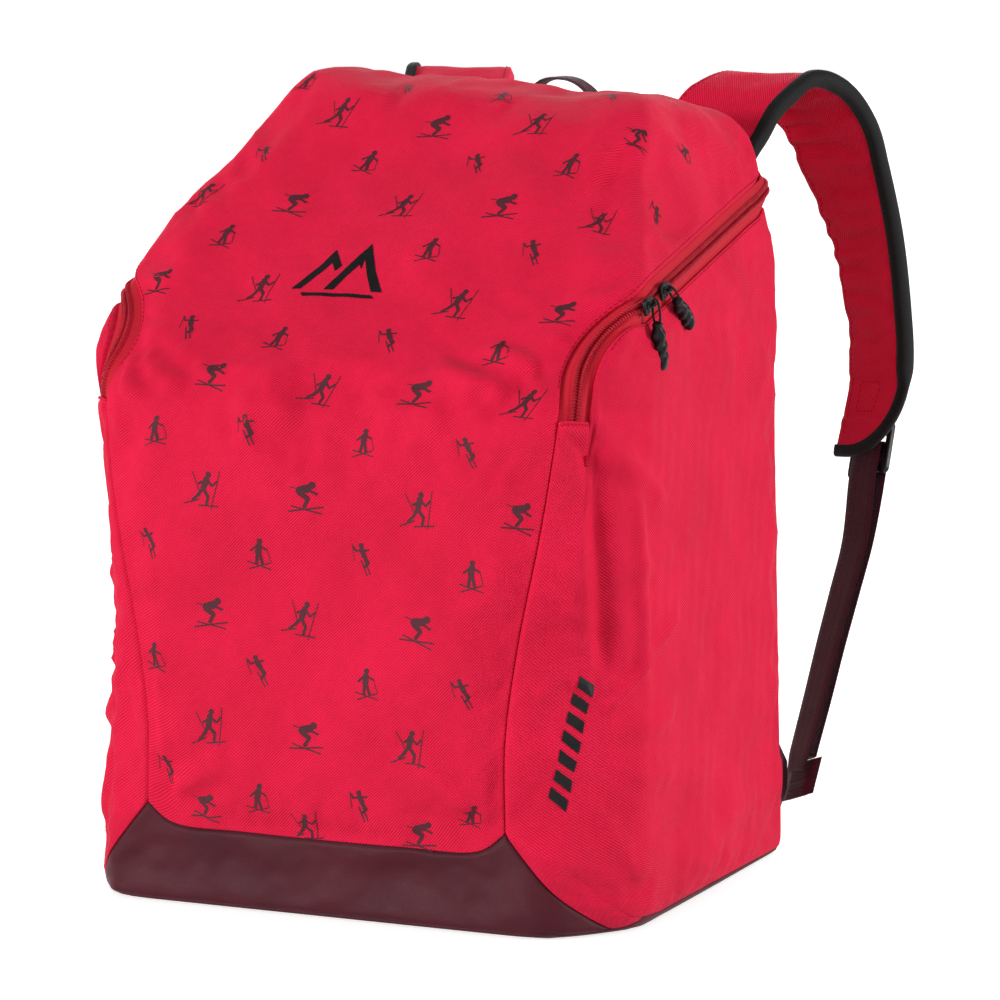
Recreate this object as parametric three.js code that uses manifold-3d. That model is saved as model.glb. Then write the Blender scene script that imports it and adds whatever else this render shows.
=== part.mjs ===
// Ski boot bag, in millimetres, +Z up. The origin is the centre of the flat underside, +X is the
// wearer's right, the front of the bag faces -Y and the shoulder straps are on the +Y side.
import * as THREE from 'three';
import { mergeVertices } from 'three/addons/utils/BufferGeometryUtils.js';
import Module from 'manifold-3d';

const wasm = await Module();
wasm.setup();

const V = (x, y, z) => new THREE.Vector3(x, y, z);
const mirrored = (p) => V(-p.x, p.y, p.z);

// ---------------------------------------------------------------- driving dimensions
const FRONT_Y = -160;            // flat middle of the front
const BACK_Y = 150;              // back panel, against the wearer
const FRONT_HALF = 181;          // half width at the front of the base
const BACK_HALF = 151;           // half width at the back of the base
const BEND_HALF = 175;           // half width at the front, at the bend
const BEND_Z = 294;              // where the upright front leans back into the lid
const CROWN = { y: 24, z: 470, half: 115, droop: 7 };
const REAR_CORNER = V(140, BACK_Y, 410);
const REAR_CREST_Z = 456;        // top of the back, at its middle
const CORE = V(0, 0, 200);       // every panel is aimed outward from here

const CLOTH = 5;                 // padded shell, face fabric to lining
const SEAM = 0.3;                // clear gap left along each seam
const HINGE_Z = 288;             // the lid folds forward about this line
const TAPE = 4;                  // one side of the zip tape
const FLARE = 2.4;               // how much wider each tape is at the two ends of the zip
const FLARE_STATIONS = 4;        // stations of the zip over which it narrows
const COIL = 3;                  // one half of the zip coil
const LOWER_SLIDER = -88;        // where the two sliders meet, by their Y
const UPPER_SLIDER = -60;

// ---------------------------------------------------------------- outer skin of the packed bag
function plane(p, q, r) {
  const n = new THREE.Vector3().crossVectors(q.clone().sub(p), r.clone().sub(p)).normalize();
  if (n.dot(p.clone().sub(CORE)) < 0) n.negate();
  return { n, reach: n.dot(p.clone().sub(CORE)) };
}

function bothSides(p, q, r) {
  return [plane(p, q, r), plane(mirrored(p), mirrored(q), mirrored(r))];
}

const UPRIGHT = [
  plane(V(0, FRONT_Y, 0), V(1, FRONT_Y, 0), V(0, FRONT_Y, 1)),
  plane(V(0, BACK_Y, 0), V(1, BACK_Y, 0), V(0, BACK_Y, 1)),
  ...bothSides(V(FRONT_HALF, -150, 0), V(BACK_HALF, BACK_Y, 0), V(BEND_HALF, -150, 290)),
  ...bothSides(V(143, FRONT_Y, 0), V(FRONT_HALF, -104, 0), V(143, FRONT_Y, 100)),
];
const SLOPES = [
  plane(V(0, FRONT_Y, BEND_Z), V(1, FRONT_Y, BEND_Z), V(0, CROWN.y, CROWN.z)),
  plane(V(-100, CROWN.y, CROWN.z + CROWN.droop), V(100, CROWN.y, CROWN.z - CROWN.droop),
    V(0, BACK_Y, REAR_CREST_Z)),
  plane(V(CROWN.half, CROWN.y, CROWN.z - CROWN.droop), REAR_CORNER, V(203, -130, BEND_Z)),
  plane(V(-CROWN.half, CROWN.y, CROWN.z + CROWN.droop), mirrored(REAR_CORNER),
    V(-203, -130, BEND_Z)),
];
const BASE = [plane(V(0, 0, 0), V(1, 0, 0), V(0, 1, 0))];

// Rounded hull of the planes: a larger power gives a tighter edge.
function gauge(ray, planes, power, inset) {
  return planes.reduce((sum, { n, reach }) => sum + Math.max(n.dot(ray) / (reach - inset), 0)
    ** power, 0);
}

function skin(guide, inset = 0) {
  const ray = guide.clone().sub(CORE);
  const walls = gauge(ray, UPRIGHT, 36, inset) ** (50 / 36);
  const shell = (walls + gauge(ray, SLOPES, 50, inset)) ** (56 / 50);
  const reach = (shell + gauge(ray, BASE, 56, inset)) ** (1 / 56);
  return CORE.clone().addScaledVector(ray, 1 / reach);
}

// ---------------------------------------------------------------- seam and zip lines
// Even samples along a smooth or straight-sided line.
function along(points, count, smooth = true) {
  const path = smooth ? new THREE.CatmullRomCurve3(points, false, 'centripetal')
    : new THREE.CurvePath();
  if (!smooth) {
    points.slice(1).forEach((p, i) => path.add(new THREE.LineCurve3(points[i], p)));
  }
  return path.getSpacedPoints(count);
}

// Right half of the zip: up the front corner, back along the side, then across the back.
const ZIP_RISE = along([V(151, -146, HINGE_Z), V(150, -138, 312), V(151.5, -122, 331),
  V(157.5, -108, 342.5), V(165.5, -90, 350)], 6);
const ZIP_SIDE = along([V(165.5, -90, 350), V(142, 128, 400)], 10, false);
const ZIP_REAR = along([V(142, 128, 400), V(135, 147, 405), V(118, 150, 409), V(60, 150, 414),
  V(0, 150, 416)], 8);
const ZIP_HALF = [...ZIP_RISE, ...ZIP_SIDE.slice(1), ...ZIP_REAR.slice(1)].map((p) => skin(p));
const ZIP = [...ZIP_HALF, ...ZIP_HALF.slice(0, -1).reverse().map(mirrored)].map((p) => skin(p));
const CORNER = ZIP_RISE.length + ZIP_SIDE.length - 1;   // station just past the rear corner

// Line beside the zip, a distance towards the lid (or towards the body when negative), and a
// share of the tape's flare further at its ends.
function besideZip(offset, inset = 0, flare = 0) {
  return ZIP.map((p, i) => {
    const fromEnd = Math.min(i, ZIP.length - 1 - i);
    const spread = flare * FLARE * Math.max(1 - fromEnd / FLARE_STATIONS, 0) ** 1.5;
    const run = ZIP[Math.min(i + 1, ZIP.length - 1)].clone().sub(ZIP[Math.max(i - 1, 0)]);
    const out = p.clone().sub(CORE).normalize();
    const across = new THREE.Vector3().crossVectors(out, run.normalize()).normalize();
    if (i === 0 || i === ZIP.length - 1) across.z = 0;
    return skin(p.clone().addScaledVector(across.normalize(), offset + spread), inset);
  });
}

const EDGE = TAPE + COIL + SEAM;
const LID_EDGE = besideZip(EDGE, 0, 1);
const BODY_EDGE = besideZip(-EDGE, 0, -1);

// Right front seam, from the bottom corner over the patch tip up to the hinge line.
const SEAM_SLANT = along([V(167, -126, 0), V(116, FRONT_Y, 58)], 4, false);
const SEAM_RISE = along([V(116, FRONT_Y, 58), V(116, FRONT_Y, 110), V(124, FRONT_Y, 165),
  V(137, -158, 230), LID_EDGE[0]], 10);
const FRONT_SEAM = [...SEAM_SLANT, ...SEAM_RISE.slice(1)].map((p) => skin(p));
const REAR_SEAM = along([V(BACK_HALF, BACK_Y, 0), BODY_EDGE[CORNER]], 12, false)
  .map((p) => skin(p));

// ---------------------------------------------------------------- solids
function material(colour, roughness, metalness = 0) {
  return new THREE.MeshStandardMaterial({ color: colour, roughness, metalness });
}

const RED = () => material(0xd81e46, 0.85);
const MAROON = () => material(0x4f2830, 0.6);
const WEBBING = () => material(0x4a1c24, 0.9);
const ZIP_RED = () => material(0x9c1c30, 0.7);
const BLACK = () => material(0x18181a, 0.55);
const LINING = () => material(0x2a2a2e, 0.9);

function signedVolume(geometry) {
  const at = geometry.attributes.position;
  const index = geometry.index;
  const corner = (i) => new THREE.Vector3().fromBufferAttribute(at, index ? index.getX(i) : i);
  const count = index ? index.count : at.count;
  let sum = 0;
  for (let i = 0; i < count; i += 3) {
    sum += corner(i).dot(corner(i + 1).clone().cross(corner(i + 2))) / 6;
  }
  return sum;
}

// Turn a solid whose faces look inward the right way out.
function faceOutward(geometry) {
  if (signedVolume(geometry) >= 0) return geometry;
  const order = geometry.index.array;
  for (let i = 0; i < order.length; i += 3) [order[i], order[i + 1]] = [order[i + 1], order[i]];
  return geometry;
}

function node(name, geometry, finish) {
  geometry.computeVertexNormals();
  const mesh = new THREE.Mesh(geometry, finish);
  mesh.name = name;
  return mesh;
}

// A box bent so that its unit (u, v, w) lands where the shape function says.
function bentBox(cols, rows, layers, shape) {
  const geometry = new THREE.BoxGeometry(1, 1, 1, cols, rows, layers);
  const at = geometry.attributes.position;
  for (let i = 0; i < at.count; i += 1) {
    const p = shape(at.getX(i) + 0.5, at.getY(i) + 0.5, at.getZ(i) + 0.5);
    at.setXYZ(i, p.x, p.y, p.z);
  }
  return faceOutward(geometry);
}

// Four-sided web of guide points between boundary lines that meet at their ends.
function web(bottom, top, left, right) {
  const cols = bottom.length - 1;
  const rows = left.length - 1;
  const corner = (list, end) => (end ? list[list.length - 1] : list[0]);
  return bottom.map((_, i) => left.map((__, j) => {
    const u = i / cols;
    const v = j / rows;
    const p = V(0, 0, 0);
    p.addScaledVector(bottom[i], 1 - v).addScaledVector(top[i], v);
    p.addScaledVector(left[j], 1 - u).addScaledVector(right[j], u);
    p.addScaledVector(corner(bottom, 0), -(1 - u) * (1 - v));
    p.addScaledVector(corner(bottom, 1), -u * (1 - v));
    p.addScaledVector(corner(top, 0), -(1 - u) * v);
    p.addScaledVector(corner(top, 1), -u * v);
    return p;
  }));
}

// Pull the outermost row and column of guides in, so neighbours keep a seam gap.
function seamGap(guides, gap) {
  const cols = guides.length - 1;
  const rows = guides[0].length - 1;
  const pull = (p, q) => p.lerp(q, Math.min(gap / p.distanceTo(q), 0.5));
  for (let j = 0; j <= rows; j += 1) {
    pull(guides[0][j], guides[1][j]);
    pull(guides[cols][j], guides[cols - 1][j]);
  }
  for (let i = 0; i <= cols; i += 1) {
    pull(guides[i][0], guides[i][1]);
    pull(guides[i][rows], guides[i][rows - 1]);
  }
  return guides;
}

// Shell piece between two depths under the skin.
function shellPiece(guides, outer, inner) {
  const cols = guides.length - 1;
  const rows = guides[0].length - 1;
  return bentBox(cols, rows, 1, (u, v, w) => {
    const guide = guides[Math.round(u * cols)][Math.round(v * rows)];
    return skin(guide, w > 0.5 ? outer : inner);
  });
}

function panel(name, bottom, top, left, right, finish, depth = CLOTH) {
  const guides = seamGap(web(bottom, top, left, right), SEAM);
  return node(name, shellPiece(guides, 0, depth), finish);
}

// Strip between two lines of the same count of points.
function strip(name, low, high, outer, inner, finish) {
  const guides = low.map((p, i) => [p.clone(), high[i].clone()]);
  return node(name, shellPiece(guides, outer, inner), finish);
}

// Solid of a flat outline with rounded edges, its thickness along +Z.
function plate(outline, thickness, bevel = 0) {
  const geometry = new THREE.ExtrudeGeometry(outline, {
    depth: thickness - 2 * bevel,
    bevelEnabled: bevel > 0,
    bevelThickness: bevel,
    bevelSize: bevel,
    bevelOffset: -bevel,
    bevelSegments: 1,
    curveSegments: 3,
  });
  return geometry.translate(0, 0, bevel);
}

function roundedRect(width, height, radius) {
  const outline = new THREE.Shape();
  const x = width / 2 - radius;
  const y = height / 2 - radius;
  outline.absarc(x, y, radius, 0, Math.PI / 2);
  outline.absarc(-x, y, radius, Math.PI / 2, Math.PI);
  outline.absarc(-x, -y, radius, Math.PI, 1.5 * Math.PI);
  outline.absarc(x, -y, radius, 1.5 * Math.PI, 2 * Math.PI);
  return outline;
}

function manifoldOf(geometry) {
  const bare = geometry.clone();
  bare.deleteAttribute('uv');
  bare.deleteAttribute('normal');
  const merged = mergeVertices(bare, 1e-4);
  return new wasm.Manifold(new wasm.Mesh({
    numProp: 3,
    vertProperties: new Float32Array(merged.attributes.position.array),
    triVerts: new Uint32Array(merged.index.array),
  }));
}

function fuse(a, b) {
  const { vertProperties, triVerts } = manifoldOf(a).add(manifoldOf(b)).getMesh();
  const geometry = new THREE.BufferGeometry();
  geometry.setAttribute('position', new THREE.BufferAttribute(vertProperties, 3));
  geometry.setIndex(new THREE.BufferAttribute(triVerts, 1));
  return geometry;
}

// Frame with local X and Y along two directions and its origin at a point.
function placed(geometry, origin, xDir, yDir) {
  const x = xDir.clone().normalize();
  const z = new THREE.Vector3().crossVectors(x, yDir).normalize();
  const y = new THREE.Vector3().crossVectors(z, x);
  geometry.applyMatrix4(new THREE.Matrix4().makeBasis(x, y, z).setPosition(origin));
  return geometry;
}

// The same solid on the other side of the bag.
function mirroredSolid(geometry) {
  const bare = geometry.clone();
  bare.deleteAttribute('uv');
  bare.deleteAttribute('normal');
  return faceOutward(mergeVertices(bare, 1e-5).scale(-1, 1, 1));
}

// ---------------------------------------------------------------- body shell
const FRONT_FOOT = along([V(-167, -126, 0), V(-143, FRONT_Y, 0), V(143, FRONT_Y, 0),
  V(167, -126, 0)], 16, false).map((p) => skin(p));
const PATCH_TOP = along([V(-116, FRONT_Y, 58), V(-100, FRONT_Y, 47), V(-50, FRONT_Y, 45),
  V(50, FRONT_Y, 45), V(100, FRONT_Y, 47), V(116, FRONT_Y, 58)], 16).map((p) => skin(p));
const HINGE_LINE = along([mirrored(LID_EDGE[0]), V(-125, FRONT_Y, HINGE_Z),
  V(125, FRONT_Y, HINGE_Z), LID_EDGE[0]], 16).map((p) => skin(p));
const SIDE_FOOT = along([V(167, -126, 0), V(FRONT_HALF, -104, 0), V(BACK_HALF, BACK_Y, 0)],
  CORNER + 2, false).map((p) => skin(p));
const BACK_FOOT = along([V(-BACK_HALF, BACK_Y, 0), V(BACK_HALF, BACK_Y, 0)], 14)
  .map((p) => skin(p));
const BACK_TOP = BODY_EDGE.slice(CORNER, ZIP.length - CORNER).reverse();

function sidePanels() {
  const pocket = skin(LID_EDGE[0].clone().lerp(BODY_EDGE[0], 0.5));
  const top = [LID_EDGE[0], pocket, ...BODY_EDGE.slice(0, CORNER + 1)];
  const rear = along([SIDE_FOOT[SIDE_FOOT.length - 1], BODY_EDGE[CORNER]],
    FRONT_SEAM.length - 1).map((p) => skin(p));
  const right = panel('side_panel_right', SIDE_FOOT, top, FRONT_SEAM, rear, RED());
  return [right, node('side_panel_left', mirroredSolid(right.geometry), RED())];
}

function bodyShell() {
  const left = FRONT_SEAM.map(mirrored);
  const slant = SEAM_SLANT.length;
  const sideLine = resampled(SIDE_FOOT, 12);
  const backRows = REAR_SEAM;
  return [
    panel('front_base_patch', FRONT_FOOT, PATCH_TOP, left.slice(0, slant),
      FRONT_SEAM.slice(0, slant), MAROON()),
    panel('front_panel', PATCH_TOP, HINGE_LINE, left.slice(slant - 1),
      FRONT_SEAM.slice(slant - 1), RED()),
    ...sidePanels(),
    panel('back_panel', resampled(BACK_FOOT, BACK_TOP.length - 1), BACK_TOP,
      backRows.map(mirrored), backRows, RED()),
    panel('base_panel', FRONT_FOOT, resampled(BACK_FOOT, 16), sideLine.map(mirrored), sideLine,
      MAROON(), 3),
  ];
}

function resampled(points, count) {
  return along(points, count, false).map((p) => skin(p));
}

// Stiff inner boards that keep the base and the back flat.
function boards() {
  const base = plate(roundedRect(270, 250, 30), 2, 0.4).translate(0, 0, 3.6);
  const back = plate(roundedRect(220, 320, 25), 3, 0.6);
  placed(back, V(0, BACK_Y - CLOTH - 4.6, 205), V(-1, 0, 0), V(0, 0, 1));
  return [node('base_board', base, BLACK()), node('back_board', back, BLACK())];
}

// ---------------------------------------------------------------- zip
function zipHalf(side, owner) {
  const coil = [besideZip(side * SEAM / 2), besideZip(side * COIL)];
  const tape = [besideZip(side * (COIL + SEAM)), besideZip(side * (EDGE - SEAM), 0, side)];
  return [
    strip(`zipper_coil_${owner}`, ...coil, -0.6, 2.4, MAROON()),
    strip(`zipper_tape_${owner}`, ...tape, 0.8, 2.2, ZIP_RED()),
  ];
}

// Small sewn pocket that covers the lower end of the zip.
function zipPockets() {
  const low = V(152, -146, HINGE_Z - 9);
  const run = BODY_EDGE[0].clone().sub(LID_EDGE[0]);
  const out = new THREE.Vector3().crossVectors(run, V(0, 0, 1)).normalize();
  const pocket = plate(roundedRect(run.length() - 1, 14, 3), 1.6, 0.4);
  placed(pocket, skin(low).addScaledVector(out, 1.2), run, V(0, 0, 1));
  return [node('zipper_pocket_right', pocket, RED()),
    node('zipper_pocket_left', mirroredSolid(pocket), RED())];
}

// ---------------------------------------------------------------- sliders and their pulls
const RAIL = ZIP_HALF.slice(ZIP_RISE.length - 1, CORNER);
const RAIL_END = RAIL[RAIL.length - 1];
const ZIP_RUN = RAIL_END.clone().sub(RAIL[0]).normalize();
const WALL_OUT = UPRIGHT[2].n;
const RAIL_BOW = Math.max(...RAIL.map((p) => p.clone().sub(RAIL[0]).dot(WALL_OUT)));
const ZIP_UP = new THREE.Vector3().crossVectors(WALL_OUT, ZIP_RUN).normalize();
const PULL = { cord: 16, loop: 4.2, r: 0.7, back: 3.5, grip: 26, gripR: 4.4 };
const PULL_LEAN = 0.7;           // the upper pull lies against its cord, off the vertical
const SLIDER = { long: 14, wide: 10, plate: 2.2, bridge: 4.4, bar: 1.2, lift: 1.3 };

// Point of the straight zip rail, raised to clear its slight bow.
function onZip(y) {
  const t = (y - RAIL[0].y) / (RAIL_END.y - RAIL[0].y);
  return RAIL[0].clone().lerp(RAIL_END, t).addScaledVector(WALL_OUT, RAIL_BOW);
}

// Plate over both coils with a low bridge that holds the pull cord.
function sliderSolid() {
  const foot = plate(roundedRect(SLIDER.long, SLIDER.wide, 3), SLIDER.plate, 0.4);
  const arch = new THREE.Shape();
  arch.moveTo(-4.5, 0).lineTo(-4.5, SLIDER.bridge).lineTo(4.5, SLIDER.bridge).lineTo(4.5, 0);
  const gap = new THREE.Path();
  gap.moveTo(-3.4, 0.7).lineTo(3.4, 0.7).lineTo(3.4, SLIDER.bridge - SLIDER.bar);
  gap.lineTo(-3.4, SLIDER.bridge - SLIDER.bar);
  arch.holes.push(gap);
  const bridge = plate(arch, 2.6).translate(0, SLIDER.plate - 0.6, -1.3);
  bridge.rotateX(Math.PI / 2);
  return fuse(foot, bridge);
}

function sliderAt(name, y) {
  const solid = sliderSolid();
  placed(solid, onZip(y).addScaledVector(WALL_OUT, SLIDER.lift), ZIP_RUN, ZIP_UP);
  return node(name, solid, BLACK());
}

// Moulded grip: a stout peg with rings, made round its own axis.
function gripSolid(length, radius) {
  const profile = [new THREE.Vector2(0, 0)];
  const rings = 3;
  for (let i = 0; i <= rings * 4; i += 1) {
    const t = i / (rings * 4);
    const waist = 0.82 + 0.18 * Math.cos(t * rings * 2 * Math.PI);
    const ends = Math.sqrt(Math.max(1 - (2 * t - 1) ** 6, 0.12));
    profile.push(new THREE.Vector2(radius * waist * ends, t * length));
  }
  profile.push(new THREE.Vector2(0, length));
  return new THREE.LatheGeometry(profile, 12);
}

// Closed loop of cord, long and narrow, in its own XY plane.
class LoopCurve extends THREE.Curve {
  constructor(long, narrow) {
    super();
    this.long = long;
    this.narrow = narrow;
  }

  getPoint(t) {
    const a = t * 2 * Math.PI;
    return V(0.5 * this.long * (1 - Math.cos(a)), 0.5 * this.narrow * Math.sin(a), 0);
  }
}

// Cord loop through the slider's bridge, with the grip on its outer end.
function pull(name, y, hang) {
  const pivot = pullPivot(y);
  const cord = new THREE.TubeGeometry(new LoopCurve(PULL.cord, PULL.loop), 24, PULL.r, 6, true);
  cord.translate(-PULL.back, 0, 0);
  placed(cord, pivot, hang, WALL_OUT);
  const grip = gripSolid(PULL.grip, PULL.gripR).rotateZ(-Math.PI / 2);
  grip.translate(PULL.cord - PULL.back + PULL.r + SEAM, 0, 0);
  placed(grip, pivot, hang, WALL_OUT);
  return [node(`pull_cord_${name}`, cord, BLACK()), node(`pull_grip_${name}`, grip, BLACK())];
}

// Middle of the gap under a slider's bridge.
function pullPivot(y) {
  const lift = SLIDER.lift + SLIDER.plate - 0.6 + SLIDER.bridge - SLIDER.bar / 2;
  return onZip(y).addScaledVector(WALL_OUT, lift);
}

// ---------------------------------------------------------------- harness
// Middle line of the wearer's right strap, from its root on the back round to the buckle.
const STRAP_LINE = new THREE.CatmullRomCurve3([V(75, 166, 408), V(83, 178, 430),
  V(94, 194, 453), V(106, 220, 464), V(117, 244, 455), V(127, 262, 434), V(134, 271, 408),
  V(146, 278, 363), V(153.5, 279, 320), V(157, 275.5, 283), V(153.5, 260.5, 232)], false,
'centripetal');
const PAD = { half: 34, endHalf: 25, thick: 9, rim: 3, rows: 30, sweep: 46, tip: -15 };
const ROOT_TOP = 407.2;
const TURN_OUT = 24 * Math.PI / 180;   // how far the strap turns its inner face to the side

// Level direction turned out to the side by an angle.
function turnedOut(angle) {
  return V(Math.cos(angle), -Math.sin(angle), 0);
}

// A direction made square to a unit run.
function squared(direction, run) {
  return direction.addScaledVector(run, -direction.dot(run)).normalize();
}

// A point beside the strap's middle line: sideways across it and out of its face. The first
// stations are cut level, so that the strap can turn on its root.
function inStrap(t, side, face) {
  const at = THREE.MathUtils.clamp(t, 0, 1);
  const run = STRAP_LINE.getTangentAt(at);
  const wide = squared(turnedOut(TURN_OUT * THREE.MathUtils.smoothstep(t, 0.25, 0.75)), run);
  const out = new THREE.Vector3().crossVectors(run, wide);
  const aside = wide.multiplyScalar(side).addScaledVector(out, face);
  const level = 1 - THREE.MathUtils.smoothstep(t, 0, 0.15);
  aside.addScaledVector(run, -level * aside.z / run.z);
  const past = (t - at) * STRAP_LINE.getLength();
  return STRAP_LINE.getPointAt(at).add(aside).addScaledVector(run, past);
}

// Half width of the pad, which tapers towards the buckle.
function padTaper(t) {
  return THREE.MathUtils.lerp(PAD.half, PAD.endHalf, THREE.MathUtils.smoothstep(t, 0.2, 0.9));
}

// Outer side of the pad: it sweeps round in a quarter of an ellipse to a tip on the inner side.
function padOuter(t) {
  const toEnd = Math.max((1 - t) * STRAP_LINE.getLength() / PAD.sweep, 0);
  const round = Math.sqrt(1 - (1 - Math.min(toEnd, 1)) ** 2);
  return PAD.tip + (padTaper(t) - PAD.tip) * round;
}

// Cross-sections lie closer together towards the rounded end.
function padStation(v) {
  return 1 - (1 - v) ** 1.6;
}

function strapPad() {
  return bentBox(4, PAD.rows, 1, (u, v, w) => {
    const t = padStation(v);
    const side = THREE.MathUtils.lerp(-padTaper(t), padOuter(t), u);
    return inStrap(t, side, (w - 0.5) * PAD.thick);
  });
}

// A point of the pad's outer edge, as (distance down the strap, side).
function padEdge(v) {
  const t = padStation(v);
  return new THREE.Vector2(t * STRAP_LINE.getLength(), padOuter(t));
}

// Bound edge down the outer side of the pad and round its end to the tip.
function strapRim() {
  const length = STRAP_LINE.getLength();
  return bentBox(1, PAD.rows, 1, (u, v, w) => {
    const edge = padEdge(v);
    const run = padEdge(Math.min(v + 0.01, 1)).sub(padEdge(Math.max(v - 0.01, 0))).normalize();
    const out = 2 * SEAM + u * PAD.rim;
    const down = edge.x - run.y * out;
    return inStrap(down / length, edge.y + run.x * out, (w - 0.5) * (PAD.thick + 1));
  });
}

// Fixed root of the strap, sewn under the yoke and standing up to the moving pad.
function strapRoot() {
  const line = new THREE.CatmullRomCurve3([V(68, 157.2, 378), V(70, 158.6, 390),
    V(72.2, 161.6, 400), V(74.7, 165.6, ROOT_TOP)]);
  return bentBox(4, 6, 1, (u, v, w) => {
    const thick = THREE.MathUtils.lerp(4, PAD.thick + 1, v);
    const p = line.getPointAt(v);
    return V(p.x + (2 * u - 1) * PAD.half, p.y + (w - 0.5) * thick, p.z);
  });
}

// ---------------------------------------------------------------- buckle and webbing
const LOCK = { wide: 36, long: 34, thick: 4, bar: 4, slot: 9 };
const LOCK_TOP = V(153, 281, 248);
const LOCK_RUN = V(2, -32, -67).normalize();
const LOCK_TURN = 30 * Math.PI / 180;  // how far the ladder lock faces to the side
const LOCK_WIDE = squared(turnedOut(LOCK_TURN), LOCK_RUN);
const LOCK_OUT = new THREE.Vector3().crossVectors(LOCK_RUN, LOCK_WIDE).normalize();
const TAB = { wide: 22, thick: 1.3, side: -4, hold: [0.83, 0.86, 0.885] };
const WEB = { wide: 25, thick: 1.6, lay: 4.6 };
const WEB_TURN = 43 * Math.PI / 180;   // how far the webbing faces to the side at its lower end
const WEB_FOOT = V(150, 167, 46);
const FOLD = { long: 24, thick: 5 };   // folded end of the webbing's tail

// Three-bar frame: the tab holds the top bar and the webbing turns round the middle one.
function ladderLock() {
  const outline = roundedRect(LOCK.wide, LOCK.long, 3);
  [0.5, -0.5].forEach((end) => {
    const y = end * (LOCK.slot + LOCK.bar);
    const slot = new THREE.Path();
    const x = LOCK.wide / 2 - LOCK.bar;
    slot.moveTo(-x, y - LOCK.slot / 2).lineTo(x, y - LOCK.slot / 2);
    slot.lineTo(x, y + LOCK.slot / 2).lineTo(-x, y + LOCK.slot / 2);
    outline.holes.push(slot);
  });
  const lock = plate(outline, LOCK.thick, 0.6).translate(0, 0, -LOCK.thick / 2);
  const middle = LOCK_TOP.clone().addScaledVector(LOCK_RUN, LOCK.long / 2);
  return placed(lock, middle, LOCK_WIDE, LOCK_RUN.clone().negate());
}

function byLock(down, out) {
  return LOCK_TOP.clone().addScaledVector(LOCK_RUN, down).addScaledVector(LOCK_OUT, out);
}

// Tab laid on the outer face of the pad and folded round the top bar of the ladder lock.
function buckleTab() {
  const onPad = (t) => inStrap(t, TAB.side, -PAD.thick / 2 - TAB.thick / 2 - 2 * SEAM);
  const around = [[-7, 3.6], [0, 3.2], [5, 3], [7.6, 2], [8.3, 0], [7.6, -2], [5, -3], [0, -3],
    [-7, -2.4]].map(([down, out]) => byLock(down, out));
  const wideAt = (v) => turnedOut(TURN_OUT).lerp(LOCK_WIDE, Math.min(3 * v, 1));
  return foldedBand([...TAB.hold.map(onPad), ...around], wideAt, TAB.wide, TAB.thick, 22);
}

// Band of webbing along a line, its wide direction given as a function of the way along.
function foldedBand(points, wideAt, width, thick, steps) {
  const curve = new THREE.CatmullRomCurve3(points, false, 'centripetal');
  return bentBox(2, steps, 1, (u, v, w) => {
    const run = curve.getTangent(v);
    const side = squared(wideAt(v), run);
    const out = new THREE.Vector3().crossVectors(run, side);
    return curve.getPoint(v).addScaledVector(side, (u - 0.5) * width)
      .addScaledVector(out, (w - 0.5) * thick);
  });
}

// Webbing up from its sewn foot, round the middle bar, and its tail back down again.
const WEB_LINE = [V(155, 246, 180), V(154, 228, 150), V(153, 210, 121), V(152, 190, 87),
  V(151, 177, 65), V(150.6, 170.7, 54.2)];
const ROUND_BAR = [[36, 4], [30, 3.8], [22, 3.6], [17, 3.4], [14, 2.6], [13.4, 0],
  [14, -2.6], [17, -3.4], [22, -3.6], [30, -3.8], [36, -4.2]];

// Width direction of the webbing a share of the way from its foot to the buckle.
function webWide(share) {
  return turnedOut(WEB_TURN).lerp(LOCK_WIDE, THREE.MathUtils.smoothstep(share, 0, 1));
}

// The webbing's own line shifted square to its width.
function besideWeb(offset) {
  const last = WEB_LINE.length - 1;
  return WEB_LINE.map((p, i) => {
    const run = WEB_LINE[Math.min(i + 1, last)].clone().sub(WEB_LINE[Math.max(i - 1, 0)]);
    const out = new THREE.Vector3().crossVectors(run, webWide(1 - i / last)).normalize();
    return p.clone().addScaledVector(out, offset);
  });
}

function adjusterWebbing() {
  const turn = ROUND_BAR.map(([down, out]) => byLock(down, out));
  const points = [WEB_FOOT, ...besideWeb(0.6).reverse(), ...turn, ...besideWeb(-WEB.lay)];
  const wideAt = (v) => webWide(Math.min(v, 1 - v) * 3);
  return foldedBand(points, wideAt, WEB.wide, WEB.thick, 60);
}

// Folded and stitched end that stops the tail slipping through.
function webbingEnd() {
  const tail = besideWeb(-WEB.lay).slice(-2);
  const run = tail[1].clone().sub(tail[0]).normalize();
  const fold = plate(roundedRect(WEB.wide + 1, FOLD.long, 2), FOLD.thick, 0.8);
  fold.translate(0, 0, -FOLD.thick / 2);
  const middle = tail[1].addScaledVector(run, FOLD.long / 2 + 1);
  return placed(fold, middle, squared(webWide(0), run), run.clone().negate());
}

// Folded triangle sewn into the lower back corner seam.
function lowAnchor() {
  const outline = new THREE.Shape();
  outline.moveTo(0, -22).lineTo(0, 22).lineTo(13, 8).lineTo(13, -8);
  const tab = plate(outline, 2.6, 0.4);
  return placed(tab, V(143, BACK_Y + 1, 44), V(0, 1, 0), V(0, 0, 1));
}

function bothStraps() {
  const pieces = {
    strap_pad: [strapPad(), RED()],
    strap_rim: [strapRim(), BLACK()],
    strap_root: [strapRoot(), RED()],
    strap_anchor: [lowAnchor(), WEBBING()],
    buckle_tab: [buckleTab(), WEBBING()],
    ladder_lock: [ladderLock(), BLACK()],
    adjuster_webbing: [adjusterWebbing(), WEBBING()],
    webbing_end: [webbingEnd(), WEBBING()],
  };
  return Object.entries(pieces).flatMap(([name, [solid, finish]]) => [
    node(`${name}_right`, faceOutward(solid), finish),
    node(`${name}_left`, mirroredSolid(solid), finish.clone()),
  ]);
}

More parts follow.
